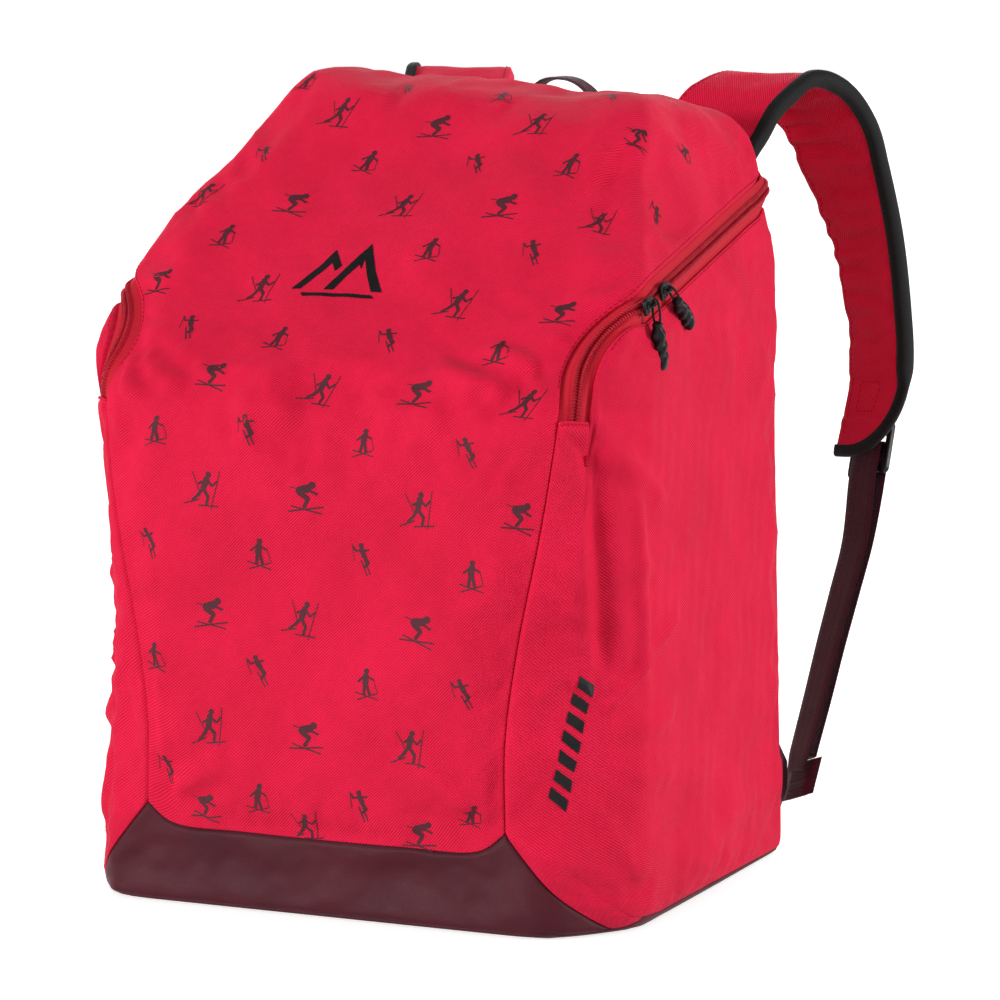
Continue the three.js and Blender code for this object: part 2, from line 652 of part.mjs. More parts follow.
// ---------------------------------------------------------------- back of the bag
const LOOP = { half: 26, foot: 405, top: 466, y: 161.5, wide: 18, thick: 2, lean: -8 };

function haulLoop() {
  const { half, foot, top, y } = LOOP;
  const lean = (z) => LOOP.lean * (z - foot) / (top - foot);
  const at = (x, z) => V(x + lean(z), y, z);
  const line = [at(-half, foot), at(-half, foot + 26), at(-half + 4, top - 12), at(-12, top - 2.5),
    at(0, top), at(12, top - 2.5), at(half - 4, top - 12), at(half, foot + 26), at(half, foot)];
  return node('haul_loop', foldedBand(line, () => V(0, 1, 0), LOOP.wide, LOOP.thick, 36), WEBBING());
}

// Reinforcing band across the top of the back, behind the strap roots.
function yoke() {
  const band = plate(roundedRect(220, 30, 4), 1.6, 0.4);
  return node('strap_yoke', placed(band, V(0, BACK_Y + 0.4, 389), V(-1, 0, 0), V(0, 0, 1)),
    MAROON());
}

function backPads() {
  const pad = plate(roundedRect(84, 280, 26), 12, 4);
  const column = placed(pad, V(58, BACK_Y + 0.4, 215), V(-1, 0, 0), V(0, 0, 1));
  const lumbar = plate(roundedRect(200, 46, 18), 11, 4);
  placed(lumbar, V(0, BACK_Y + 0.4, 44), V(-1, 0, 0), V(0, 0, 1));
  return [node('back_pad_right', column, BLACK()),
    node('back_pad_left', mirroredSolid(column), BLACK()), node('lumbar_pad', lumbar, BLACK())];
}

// ---------------------------------------------------------------- lid
function lidPanel() {
  const sideRows = LID_EDGE.slice(0, CORNER + 1);
  const top = LID_EDGE.slice(CORNER, ZIP.length - CORNER).reverse();
  const fold = resampled(HINGE_LINE, top.length - 1);
  return panel('lid_panel', fold, top, sideRows.map(mirrored), sideRows, RED());
}

function bag() {
  const group = new THREE.Group();
  group.name = 'ski_boot_bag';
  const down = ZIP_UP.clone().negate();
  const aside = down.clone().multiplyScalar(Math.cos(PULL_LEAN))
    .addScaledVector(ZIP_RUN, Math.sin(PULL_LEAN));
  group.add(
    ...bodyShell(), ...boards(), ...zipHalf(-1, 'body'), ...zipPockets(),
    lidPanel(), ...zipHalf(1, 'lid'),
    sliderAt('slider_lower', LOWER_SLIDER), sliderAt('slider_upper', UPPER_SLIDER),
    ...pull('lower', LOWER_SLIDER, down), ...pull('upper', UPPER_SLIDER, aside),
    ...bothStraps(), haulLoop(), yoke(), ...backPads(),
  );
  return group;
}

export default bag();
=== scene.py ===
import itertools
import math

import bmesh
import bpy
import numpy as np
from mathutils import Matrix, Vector
from mathutils.bvhtree import BVHTree


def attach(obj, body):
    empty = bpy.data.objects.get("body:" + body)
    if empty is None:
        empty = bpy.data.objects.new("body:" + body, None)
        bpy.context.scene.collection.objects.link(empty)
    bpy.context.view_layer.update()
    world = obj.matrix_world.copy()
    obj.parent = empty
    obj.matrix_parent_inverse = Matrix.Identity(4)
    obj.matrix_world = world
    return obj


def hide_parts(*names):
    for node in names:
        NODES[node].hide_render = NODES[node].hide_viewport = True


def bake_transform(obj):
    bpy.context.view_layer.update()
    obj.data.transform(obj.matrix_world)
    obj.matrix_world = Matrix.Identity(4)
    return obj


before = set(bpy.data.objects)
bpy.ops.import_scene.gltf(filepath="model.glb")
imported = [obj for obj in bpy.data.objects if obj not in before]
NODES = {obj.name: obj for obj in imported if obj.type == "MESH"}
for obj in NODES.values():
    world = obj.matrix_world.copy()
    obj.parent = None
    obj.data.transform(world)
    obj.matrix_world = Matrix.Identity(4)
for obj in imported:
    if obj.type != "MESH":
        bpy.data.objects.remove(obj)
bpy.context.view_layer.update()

MM = 0.001          # shapes are worked out in millimetres, in the frame of the CAD model
CAMERA_AT, CAMERA_LOOKS_AT = (1.3694, -2.6465, 0.5873), (0.0261, 0.0111, 0.2231)
CAMERA_LENS, CAMERA_SENSOR = 182.9, 36
WALL_FAR, WALL_LOW, WALL_TOP, WALL_SIDES = 12.0, -0.2, 9.0, 48
FLOOR_DROP = 0.0004  # keeps the floor just clear of the bag's underside
HANDS = {"right": np.array([1.0, 1, 1]), "left": np.array([-1.0, 1, 1])}


# ---------------------------------------------------------------- camera, floor and lights
def linked(name, data):
    """A new object in the scene from its data."""
    obj = bpy.data.objects.new(name, data)
    bpy.context.scene.collection.objects.link(obj)
    return obj


def aim(obj, target):
    obj.rotation_euler = (Vector(target) - obj.location).to_track_quat("-Z", "Y").to_euler()


def make_camera():
    data = bpy.data.cameras.new("camera")
    data.lens = CAMERA_LENS
    data.sensor_width = CAMERA_SENSOR
    data.clip_end = 2.5 * WALL_FAR
    camera = linked("camera", data)
    camera.location = CAMERA_AT
    aim(camera, CAMERA_LOOKS_AT)
    bpy.context.scene.camera = camera


def sun(name, source, strength, softness):
    """Soft directional light that comes from a direction towards the bag."""
    data = bpy.data.lights.new(name, "SUN")
    data.energy = strength
    data.angle = softness
    light = linked(name, data)
    light.location = source
    aim(light, (0, 0, 0))


def glowing(name, colour, glow):
    """Flat surface for the studio that gives off some white light of its own."""
    material = bpy.data.materials.new(name)
    material.use_nodes = True
    shader = material.node_tree.nodes["Principled BSDF"]
    shader.inputs["Base Color"].default_value = colour
    shader.inputs["Roughness"].default_value = 0.9
    shader.inputs["Specular IOR Level"].default_value = 0.1
    shader.inputs["Emission Color"].default_value = (1, 1, 1, 1)
    shader.inputs["Emission Strength"].default_value = glow
    return material


def stage_mesh(name, points, faces, material):
    mesh = bpy.data.meshes.new(name)
    mesh.from_pydata(points, [], faces)
    mesh.materials.append(material)
    obj = linked(name, mesh)
    return obj


def make_studio():
    """White floor and a far round wall, a dim sky, and soft light from both sides."""
    scene = bpy.context.scene
    scene.world = bpy.data.worlds.new("studio")
    scene.world.use_nodes = True
    background = scene.world.node_tree.nodes["Background"]
    background.inputs["Color"].default_value = (1, 1, 1, 1)
    background.inputs["Strength"].default_value = 0.36
    sun("key", (2.2, 0.6, 0.35), 2.25, 0.4)
    sun("front", (-1.5, -2.2, 0.25), 2.95, 0.4)
    sun("fill", (1.2, -2.4, 0.9), 0.5, 0.6)
    sun("rear", (-1.2, 2.2, 0.6), 1.7, 0.9)
    sides = WALL_SIDES
    turns = [2 * math.pi * i / sides for i in range(sides)]
    ring = [(WALL_FAR * math.cos(turn), WALL_FAR * math.sin(turn)) for turn in turns]
    floor = stage_mesh("floor", [(x, y, -FLOOR_DROP) for x, y in ring], [list(range(sides))],
                       glowing("pale_floor", (0.8, 0.8, 0.8, 1), 0.72))
    floor.visible_diffuse = False
    points = [(x, y, z) for z in (WALL_LOW, WALL_TOP) for x, y in ring]
    faces = [(i, (i + 1) % sides, sides + (i + 1) % sides, sides + i) for i in range(sides)]
    wall = stage_mesh("wall", points, faces, glowing("white_wall", (0, 0, 0, 1), 1.0))
    wall.visible_diffuse = wall.visible_glossy = wall.visible_shadow = False
    scene.view_settings.view_transform = "Standard"


# ---------------------------------------------------------------- curves
def unit(v):
    return v / np.linalg.norm(v, axis=-1, keepdims=True)


def square_to(run, way):
    """Unit directions nearest to a way and square to a run."""
    return unit(way - run * np.sum(way * run, -1, keepdims=True))


def smooth(t):
    """Soft step from 0 to 1."""
    t = np.clip(t, 0, 1)
    return t * t * (3 - 2 * t)


def run_length(points):
    """Distance along a row of points from the first of them."""
    return np.concatenate([[0], np.cumsum(np.linalg.norm(np.diff(points, axis=0), axis=1))])


class Line:
    """A curve through points, straight-sided or a centripetal Catmull-Rom, sampled densely."""

    def __init__(self, points, curved=True, samples=120):
        points = np.asarray(points, float)
        self.spans = len(points) - 1
        steps = np.arange(self.spans * samples + 1) / samples
        if curved and self.spans > 1:
            self.table = self._catmull(points, steps)
        else:
            i = np.minimum(steps.astype(int), self.spans - 1)
            self.table = points[i] + (points[i + 1] - points[i]) * (steps - i)[:, None]
        self.reach = run_length(self.table)
        self.length = self.reach[-1]

    def _catmull(self, points, steps):
        ends = np.vstack([2 * points[0] - points[1], points, 2 * points[-1] - points[-2]])
        gaps = np.linalg.norm(np.diff(ends, axis=0), axis=1) ** 0.5
        i = np.minimum(steps.astype(int), self.spans - 1)
        t = (steps - i)[:, None]
        p0, p1, p2, p3 = (ends[i + k] for k in range(4))
        d0, d1, d2 = (gaps[i + k][:, None] for k in range(3))
        leave = ((p1 - p0) / d0 - (p2 - p0) / (d0 + d1) + (p2 - p1) / d1) * d1
        arrive = ((p2 - p1) / d1 - (p3 - p1) / (d1 + d2) + (p3 - p2) / d2) * d1
        return (p1 + leave * t + (3 * (p2 - p1) - 2 * leave - arrive) * t ** 2
                + (2 * (p1 - p2) + leave + arrive) * t ** 3)

    def _read(self, where, at):
        return np.stack([np.interp(at, where, self.table[:, k]) for k in range(3)], -1)

    def at(self, t):
        """Points at shares of the length."""
        return self._read(self.reach / self.length, np.asarray(t, float))

    def by_station(self, t):
        """Points at shares of the count of spans."""
        return self._read(np.linspace(0, 1, len(self.table)), np.asarray(t, float))

    def even(self, count):
        return self.at(np.linspace(0, 1, count + 1))

    def run(self, t, step=0.004):
        """Directions at shares of the length."""
        return unit(self.at(np.minimum(t + step, 1)) - self.at(np.maximum(t - step, 0)))


def mirror(points):
    """The same points on the other side of the bag."""
    return np.asarray(points, float) * [-1, 1, 1]


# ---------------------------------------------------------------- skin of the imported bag
CORE = np.array([0.0, 0, 200])
FRONT_Y, BACK_Y = -160, 150
CLOTH = 5
HINGE_Z = 288
TAPE, COIL, SEAM = 4, 3, 0.3
FLARE, FLARE_STATIONS = 2.4, 4    # each tape widens by this much at the two ends of the zip


def plane(*corners):
    """Outward direction of the plane through three corners, and its distance from the core."""
    p, q, r = (np.array(c, float) for c in corners)
    n = unit(np.cross(q - p, r - p))
    n = -n if n @ (p - CORE) < 0 else n
    return n, n @ (p - CORE)


def both_sides(*corners):
    return [plane(*corners), plane(*(mirror(c) for c in corners))]


UPRIGHT = [
    plane((0, FRONT_Y, 0), (1, FRONT_Y, 0), (0, FRONT_Y, 1)),
    plane((0, BACK_Y, 0), (1, BACK_Y, 0), (0, BACK_Y, 1)),
    *both_sides((181, -150, 0), (151, BACK_Y, 0), (175, -150, 290)),
    *both_sides((143, FRONT_Y, 0), (181, -104, 0), (143, FRONT_Y, 100)),
]
WALL_ROUND, LID_ROUND, BASE_ROUND = 36, 50, 56    # the higher, the sharper the edges
SLOPES = [
    plane((0, FRONT_Y, 294), (1, FRONT_Y, 294), (0, 24, 470)),
    plane((-100, 24, 477), (100, 24, 463), (0, BACK_Y, 456)),
    plane((115, 24, 463), (140, BACK_Y, 410), (203, -130, 294)),
    plane((-115, 24, 477), (-140, BACK_Y, 410), (-203, -130, 294)),
]
BASE = [plane((0, 0, 0), (1, 0, 0), (0, 1, 0))]


def gauge(rays, planes, power, inset):
    """How far the rays reach past the planes, rounded off where the planes meet."""
    return sum(np.maximum(rays @ n / (reach - inset), 0) ** power for n, reach in planes)


def skin(guides, inset=0.0):
    """Where the rays from the core through the guides leave the bag, a depth under its skin."""
    rays = np.asarray(guides, float) - CORE
    walls = gauge(rays, UPRIGHT, WALL_ROUND, inset) ** (LID_ROUND / WALL_ROUND)
    shell = (walls + gauge(rays, SLOPES, LID_ROUND, inset)) ** (BASE_ROUND / LID_ROUND)
    reach = (shell + gauge(rays, BASE, BASE_ROUND, inset)) ** (1 / BASE_ROUND)
    return CORE + rays / reach[..., None]


# ---------------------------------------------------------------- seam and zip lines
ZIP_RISE = Line([(151, -146, HINGE_Z), (150, -138, 312), (151.5, -122, 331),
                 (157.5, -108, 342.5), (165.5, -90, 350)]).even(6)
ZIP_SIDE = Line([(165.5, -90, 350), (142, 128, 400)], False).even(10)
ZIP_REAR = Line([(142, 128, 400), (135, 147, 405), (118, BACK_Y, 409), (60, BACK_Y, 414),
                 (0, BACK_Y, 416)]).even(8)
ZIP_HALF = skin(np.vstack([ZIP_RISE, ZIP_SIDE[1:], ZIP_REAR[1:]]))
ZIP = skin(np.vstack([ZIP_HALF, mirror(ZIP_HALF[-2::-1])]))
CORNER = len(ZIP_RISE) + len(ZIP_SIDE) - 1
LAST = len(ZIP) - 1


def beside_zip(offset, flare=0.0):
    """Stations of the line beside the zip, towards the lid or, below zero, the body."""
    i = np.arange(LAST + 1)
    from_end = np.minimum(i, LAST - i)
    offset = offset + flare * FLARE * np.maximum(1 - from_end / FLARE_STATIONS, 0) ** 1.5
    run = unit(ZIP[np.minimum(i + 1, LAST)] - ZIP[np.maximum(i - 1, 0)])
    across = unit(np.cross(unit(ZIP - CORE), run))
    across[[0, LAST], 2] = 0
    return skin(ZIP + unit(across) * offset[:, None])


EDGE = TAPE + COIL + SEAM
LID_EDGE = beside_zip(EDGE, 1)
BODY_EDGE = beside_zip(-EDGE, -1)
SLANT_SPANS, RISE_SPANS = 4, 10    # how the front edge of a side panel is shared out
PATCH_TIP = (116, FRONT_Y, 58)
SEAM_SLANT = Line([(167, -126, 0), PATCH_TIP], False)
SEAM_RISE = Line([PATCH_TIP, (116, FRONT_Y, 110), (124, FRONT_Y, 165), (137, -158, 230),
                  LID_EDGE[0]])
FRONT_FOOT = Line([(-167, -126, 0), (-143, FRONT_Y, 0), (143, FRONT_Y, 0), (167, -126, 0)],
                  False)
PATCH_TOP = Line([(-116, FRONT_Y, 58), (-100, FRONT_Y, 47), (-50, FRONT_Y, 45),
                  (50, FRONT_Y, 45), (100, FRONT_Y, 47), PATCH_TIP])
HINGE_LINE = Line([mirror(LID_EDGE[0]), (-125, FRONT_Y, HINGE_Z), (125, FRONT_Y, HINGE_Z),
                   LID_EDGE[0]])
SIDE_FOOT = Line([(167, -126, 0), (181, -104, 0), (151, BACK_Y, 0)], False)
BACK_FOOT = Line([(-151, BACK_Y, 0), (151, BACK_Y, 0)], False)


def dense(points):
    """A line that passes the stations evenly in its parameter."""
    line = Line(points)
    return lambda t: line.by_station(t)


def spread(count, edge):
    """Shares from 0 to 1, even inside and crowded at both ends, where the fabric rolls under."""
    lip = np.array([0, 0.22, 0.5, 0.8, 1.15, 1.7, 2.6]) * edge
    return np.concatenate([lip, np.linspace(4 * edge, 1 - 4 * edge, count), 1 - lip[::-1]])


def web(bottom, top, left, right, us, vs):
    """Four-sided web of guide points between boundary lines that meet at their ends."""
    u, v = us[:, None, None], vs[None, :, None]
    b, t = bottom(us)[:, None], top(us)[:, None]
    lf, r = left(vs)[None], right(vs)[None]
    corners = ((1 - u) * (1 - v) * b[:1] + u * (1 - v) * b[-1:]
               + (1 - u) * v * t[:1] + u * v * t[-1:])
    return b * (1 - v) + t * v + lf * (1 - u) + r * u - corners


# ---------------------------------------------------------------- mesh building
def piece(name, points, faces, finishes, face_finish=None, uv=None):
    """A Blender object from points in millimetres. uv is one pair in millimetres per point."""
    mesh = bpy.data.meshes.new(name)
    mesh.from_pydata((np.asarray(points) * MM).tolist(), [], [list(map(int, f)) for f in faces])
    for finish in finishes if isinstance(finishes, (list, tuple)) else [finishes]:
        mesh.materials.append(finish)
    if face_finish is not None:
        mesh.polygons.foreach_set("material_index", np.asarray(face_finish, np.int32))
    mesh.polygons.foreach_set("use_smooth", np.ones(len(mesh.polygons), bool))
    if uv is not None:
        corner = np.zeros(len(mesh.loops), np.int32)
        mesh.loops.foreach_get("vertex_index", corner)
        layer = mesh.uv_layers.new(name="cloth")
        layer.data.foreach_set("uv", (np.asarray(uv) * MM)[corner].astype(np.float32).ravel())
    mesh.update()
    return linked(name, mesh)


def installed(obj, body, slot, *nodes):
    """Tie a piece to the body it rides on and to the nodes it stands for; the material slot is not
    used.
    """
    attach(obj, body)
    if nodes:
        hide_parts(*nodes)
    return obj


def quads(cols, rows, wrap=False):
    """Faces of a grid of points stored column by column; wrap closes it across the rows."""
    i, j = np.meshgrid(np.arange(cols - 1), np.arange(rows if wrap else rows - 1), indexing="ij")
    i, j = i.ravel(), j.ravel()
    k = (j + 1) % rows
    return np.stack([i * rows + j, (i + 1) * rows + j, (i + 1) * rows + k, i * rows + k], 1)


def tube_faces(rings, sides, closed=False):
    """Faces over a row of rings of points, with flat ends or with the last joined to the first."""
    faces = quads(rings, sides, wrap=True).tolist()
    last = (rings - 1) * sides
    if closed:
        return faces + [[last + k, k, (k + 1) % sides, last + (k + 1) % sides]
                        for k in range(sides)]
    return faces + [list(range(sides))[::-1], [last + k for k in range(sides)]]


def face_uv(across, up):
    """Cloth coordinates from distances across and up, which stretch to one shape."""
    return np.stack(np.broadcast_arrays(across, up), -1)


def reworked(obj, change):
    """Apply a change to the editable form of an object's mesh."""
    work = bmesh.new()
    work.from_mesh(obj.data)
    change(work)
    work.to_mesh(obj.data)
    work.free()


def weld(obj, distance):
    """Join points that lie closer together than a distance in millimetres."""
    reworked(obj, lambda work: bmesh.ops.remove_doubles(work, verts=work.verts,
                                                        dist=distance * MM))


def facing_out(obj):
    reworked(obj, lambda work: bmesh.ops.recalc_face_normals(work, faces=work.faces))


def border(cols, rows):
    """Indices round the edge of a grid, in one direction."""
    low = [i * rows for i in range(cols)]
    right = [(cols - 1) * rows + j for j in range(1, rows)]
    high = [i * rows + rows - 1 for i in range(cols - 2, -1, -1)]
    left = list(range(rows - 2, 0, -1))
    return np.array(low + right + high + left)


def edge_distance(grid):
    """Distance in millimetres from each point of a grid to the nearest end of its row or column."""
    found = []
    for axis in (0, 1):
        run = np.linalg.norm(np.diff(grid, axis=axis), axis=-1)
        first = np.zeros_like(np.take(run, [0], axis=axis))
        reach = np.concatenate([first, np.cumsum(run, axis=axis)], axis=axis)
        whole = np.take(reach, [-1], axis=axis)
        found += [reach, whole - reach]
    return np.min(found, axis=0)


# ---------------------------------------------------------------- relief of the cloth
def ripple(points, size, seed):
    """Soft random unevenness of about one unit, with waves of about a size in millimetres."""
    rng = np.random.default_rng(seed)
    total = 0
    for _ in range(9):
        way = unit(rng.normal(size=3))
        pace = 2 * math.pi / size * rng.uniform(0.7, 1.4)
        total = total + np.sin(points @ way * pace + rng.uniform(0, 2 * math.pi))
    return total / 3


def crease(points, start, end, width, height):
    """A fold that rises along a line and fades at both ends, with a shallow valley beside it."""
    a, b = skin(np.array([start, end], float))
    run = b - a
    out = unit((a + b) / 2 - CORE)
    t = (points - a) @ run / (run @ run)
    off = points - a - np.clip(t, 0, 1)[..., None] * run
    deep = off @ out
    off = off - deep[..., None] * out
    across = off @ unit(np.cross(out, run)) / width
    away = np.linalg.norm(off, axis=-1) / width
    ends = smooth(2 - 3.8 * np.abs(np.clip(t, 0, 1) - 0.5))
    return height * np.exp(-away ** 2 - (deep / 40) ** 2) * (1 - 1.1 * across) * ends


RIPPLES = [(1.5, 120, 3), (0.7, 46, 8), (0.22, 17, 11)]    # height, size, seed
BULGE_EDGE, PUCKER_EDGE = 22, 4      # how far from a seam the cloth stands out in full
FOLDS = [
    # (start, end, width, height): pulls from the fold line, the corners and the seams
    ((-150, -150, 330), (-118, -158, 292), 6, 3.7),
    ((-157, -140, 318), (-126, -160, 268), 7, 4.1),
    ((-134, -140, 322), (-92, -156, 300), 7, 2.7),
    ((60, -138, 322), (118, -150, 306), 7.5, 3.4),
    ((88, -128, 334), (132, -138, 320), 6, 2.9),
    ((126, -118, 336), (146, -125, 327), 3.5, 2.2),
    ((120, -136, 316), (140, -146, 304), 4, 2),
    ((20, -152, 303), (84, -158, 292), 8.5, 2.2),
    ((-60, -156, 297), (-10, -158, 290), 9.5, 2),
    ((158, -136, 300), (163, -130, 130), 7.5, -5.8),
    ((176, -112, 262), (180, -104, 120), 7, 3.4),
    ((159, -135, 128), (171, -104, 156), 4, 3.7),
    ((169, -108, 153), (177, -54, 177), 4, 3.4),
    ((158, -137, 118), (178, -60, 124), 7, 3.1),
    ((160, -134, 108), (177, -62, 84), 7, 3.6),
    ((152, -142, 92), (172, -96, 34), 7, 3.4),
    ((150, -148, 150), (160, -136, 136), 4, 2.5),
    ((147, -151, 190), (158, -138, 178), 5, 1.9),
    ((163, -131, 208), (177, -56, 214), 10, 2.4),
    ((160, -134, 276), (175, -70, 240), 7.5, 2.7),
    ((176, -64, 40), (170, 20, 22), 10, 2.9),
    ((168, 10, 60), (160, 90, 42), 11, 2.7),
    ((164, 60, 330), (156, 120, 300), 12, 2.7),
    ((170, -20, 330), (163, 60, 316), 12, 2.4),
    ((-104, -160, 66), (-60, -160, 92), 7.5, 2.4),
    ((98, -160, 66), (60, -160, 96), 7.5, 2.4),
    ((-20, -160, 54), (26, -160, 70), 8.5, 1.5),
]


def tucked(points):
    """How far the shell draws in below the rear corners of the zip and at the lid's corners."""
    zip_corner = np.linalg.norm(np.abs(points) - BODY_EDGE[CORNER], axis=-1)
    lid_corner = np.linalg.norm(np.abs(points) - [128, 130, 452], axis=-1)
    return 4 * np.exp(-(zip_corner / 26) ** 2) + 9 * np.exp(-(lid_corner / 23) ** 2)


def waist(at):
    """How far the front corners draw in between base and fold, most on the wearer's left."""
    middle = smooth((at[..., 2] - 40) / 90) * smooth((285 - at[..., 2]) / 90)
    corner = smooth((np.abs(at[..., 0]) - 105) / 55) * smooth((-60 - at[..., 1]) / 60)
    return (4.6 * (at[..., 0] < 0) + 1.2) * middle * corner


def sag(at):
    """How far the empty crown sinks towards the rear, on all but the wearer's right."""
    crown = smooth((at[..., 1] - 40) / 70) * smooth((at[..., 2] - 415) / 25)
    return 8 * crown * smooth((85 - at[..., 0]) / 60)


def pucker(at, edge):
    """Short waves where the topstitching gathers the cloth, on the front and the sides."""
    return ripple(at, 15, 21) * np.exp(-((edge - 6) / 7) ** 2) * smooth((80 - at[..., 1]) / 60)


def relief(guides, edge):
    """How far the loaded cloth stands out of the plain skin, in millimetres, clear of its seams."""
    at = skin(guides)
    bulge = sum(height * ripple(at, size, seed) for height, size, seed in RIPPLES)
    for start, end, width, height in FOLDS:
        bulge = bulge + crease(at, start, end, width, height)
        if start[0] > 140:
            bulge = bulge + crease(at, mirror(start), mirror(end), width, height)
    bulge = bulge - waist(at) - sag(at)
    gathered = 0.25 * pucker(at, edge) * smooth(edge / PUCKER_EDGE)
    return bulge * smooth(edge / BULGE_EDGE) + gathered - tucked(at)


def rolled(edge, radius=2.2):
    """How deep the fabric turns under at a seam."""
    t = np.clip(edge / radius, 0, 1)
    return radius * (1 - np.sqrt(1 - (1 - t) ** 2))


SETTLE_GRID = 60     # points each way of the coarse cloth that settles


def settled(grid, pressure, slack, cap, frames=18):
    """The grid as cloth held at its edges, a little larger than its frame and pushed outward."""
    cols, rows = grid.shape[:2]
    mesh = bpy.data.meshes.new("settling")
    mesh.from_pydata((grid.reshape(-1, 3) * MM).tolist(), [], quads(cols, rows).tolist())
    obj = linked("settling", mesh)
    held = obj.vertex_groups.new(name="held")
    held.add(border(cols, rows).tolist(), 1.0, "REPLACE")
    cloth = obj.modifiers.new("Cloth", "CLOTH")
    settings = {"quality": 5, "mass": 0.25, "tension_stiffness": 12, "compression_stiffness": 10,
                "shear_stiffness": 4, "bending_stiffness": 0.35, "vertex_group_mass": "held",
                "shrink_min": -slack, "use_pressure": True, "uniform_pressure_force": pressure}
    for key, value in settings.items():
        setattr(cloth.settings, key, value)
    cloth.settings.effector_weights.gravity = 0
    cloth.collision_settings.use_collision = False
    cloth.point_cache.frame_end = frames
    for step in range(1, frames + 1):
        bpy.context.scene.frame_set(step)
    done = obj.evaluated_get(bpy.context.evaluated_depsgraph_get())
    out = np.zeros(cols * rows * 3)
    done.data.vertices.foreach_get("co", out)
    bpy.data.objects.remove(obj)
    bpy.context.scene.frame_set(1)
    moved = out.reshape(cols, rows, 3) / MM - grid
    size = np.linalg.norm(moved, axis=-1, keepdims=True)
    return moved * np.minimum(1, cap / np.maximum(size, 1e-6))


def resample(field, us, vs):
    """Values of an even coarse grid at other shares along it."""
    cols, rows = field.shape[:2]
    x = np.interp(us, np.linspace(0, 1, cols), np.arange(cols))
    y = np.interp(vs, np.linspace(0, 1, rows), np.arange(rows))

    def cubic(t):
        return 0.5 * np.stack([-t + 2 * t ** 2 - t ** 3, 2 - 5 * t ** 2 + 3 * t ** 3,
                               t + 4 * t ** 2 - 3 * t ** 3, -t ** 2 + t ** 3], -1)

    i, j = np.minimum(x.astype(int), cols - 2), np.minimum(y.astype(int), rows - 2)
    wx, wy = cubic(x - i), cubic(y - j)
    total = 0
    for a in range(4):
        for b in range(4):
            sample = field[np.clip(i + a - 1, 0, cols - 1)][:, np.clip(j + b - 1, 0, rows - 1)]
            total = total + sample * wx[:, a, None, None] * wy[None, :, b, None]
    return total


def cloth_faces(guides, us, vs, pressure=0.0, slack=0.02, cap=5.0):
    """Outer face and lining of a panel: skin, folds, rolled seam edges and the settled cloth."""
    edge = edge_distance(skin(guides))
    stand = relief(guides, edge)
    face = skin(guides, rolled(edge) - stand)
    back = skin(guides, CLOTH - np.minimum(stand, 0))
    if not pressure:
        return face, back
    even = np.linspace(0, 1, SETTLE_GRID)
    index_u, index_v = (np.round(np.interp(even, shares, np.arange(len(shares)))).astype(int)
                        for shares in (us, vs))
    coarse = skin(guides, -stand)[index_u][:, index_v]
    push = resample(settled(coarse, pressure, slack, cap), us, vs) * smooth(edge / 14)[..., None]
    return face + push, back + push


def sewn_panel(name, outer, inner, uv, finish, lining):
    """Closed shell between an outer face and the lining, joined round its seams."""
    cols, rows = outer.shape[:2]
    count = cols * rows
    faces = quads(cols, rows)
    ring = border(cols, rows)
    wall = np.stack([ring, np.roll(ring, -1), np.roll(ring, -1) + count, ring + count], 1)
    turned = faces[:, ::-1] + count
    middle = faces[len(faces) // 2]
    a, b, c = (outer.reshape(-1, 3)[k] for k in middle[:3])
    if np.cross(b - a, c - a) @ (a - CORE) < 0:
        faces, turned = faces[:, ::-1], turned[:, ::-1]
    else:
        wall = wall[:, ::-1]
    points = np.vstack([outer.reshape(-1, 3), inner.reshape(-1, 3)])
    kind = np.concatenate([np.zeros(len(faces)), np.ones(len(turned)), np.zeros(len(wall))])
    uvs = np.vstack([uv.reshape(-1, 2)] * 2)
    return piece(name, points, np.vstack([faces, turned, wall]), [finish, lining], kind, uvs)


# ---------------------------------------------------------------- materials
def srgb(red, green, blue):
    """Linear colour from 0 to 255 display values."""
    shares = [c / 255 for c in (red, green, blue)]
    return [c / 12.92 if c < 0.04045 else ((c + 0.055) / 1.055) ** 2.4 for c in shares] + [1]


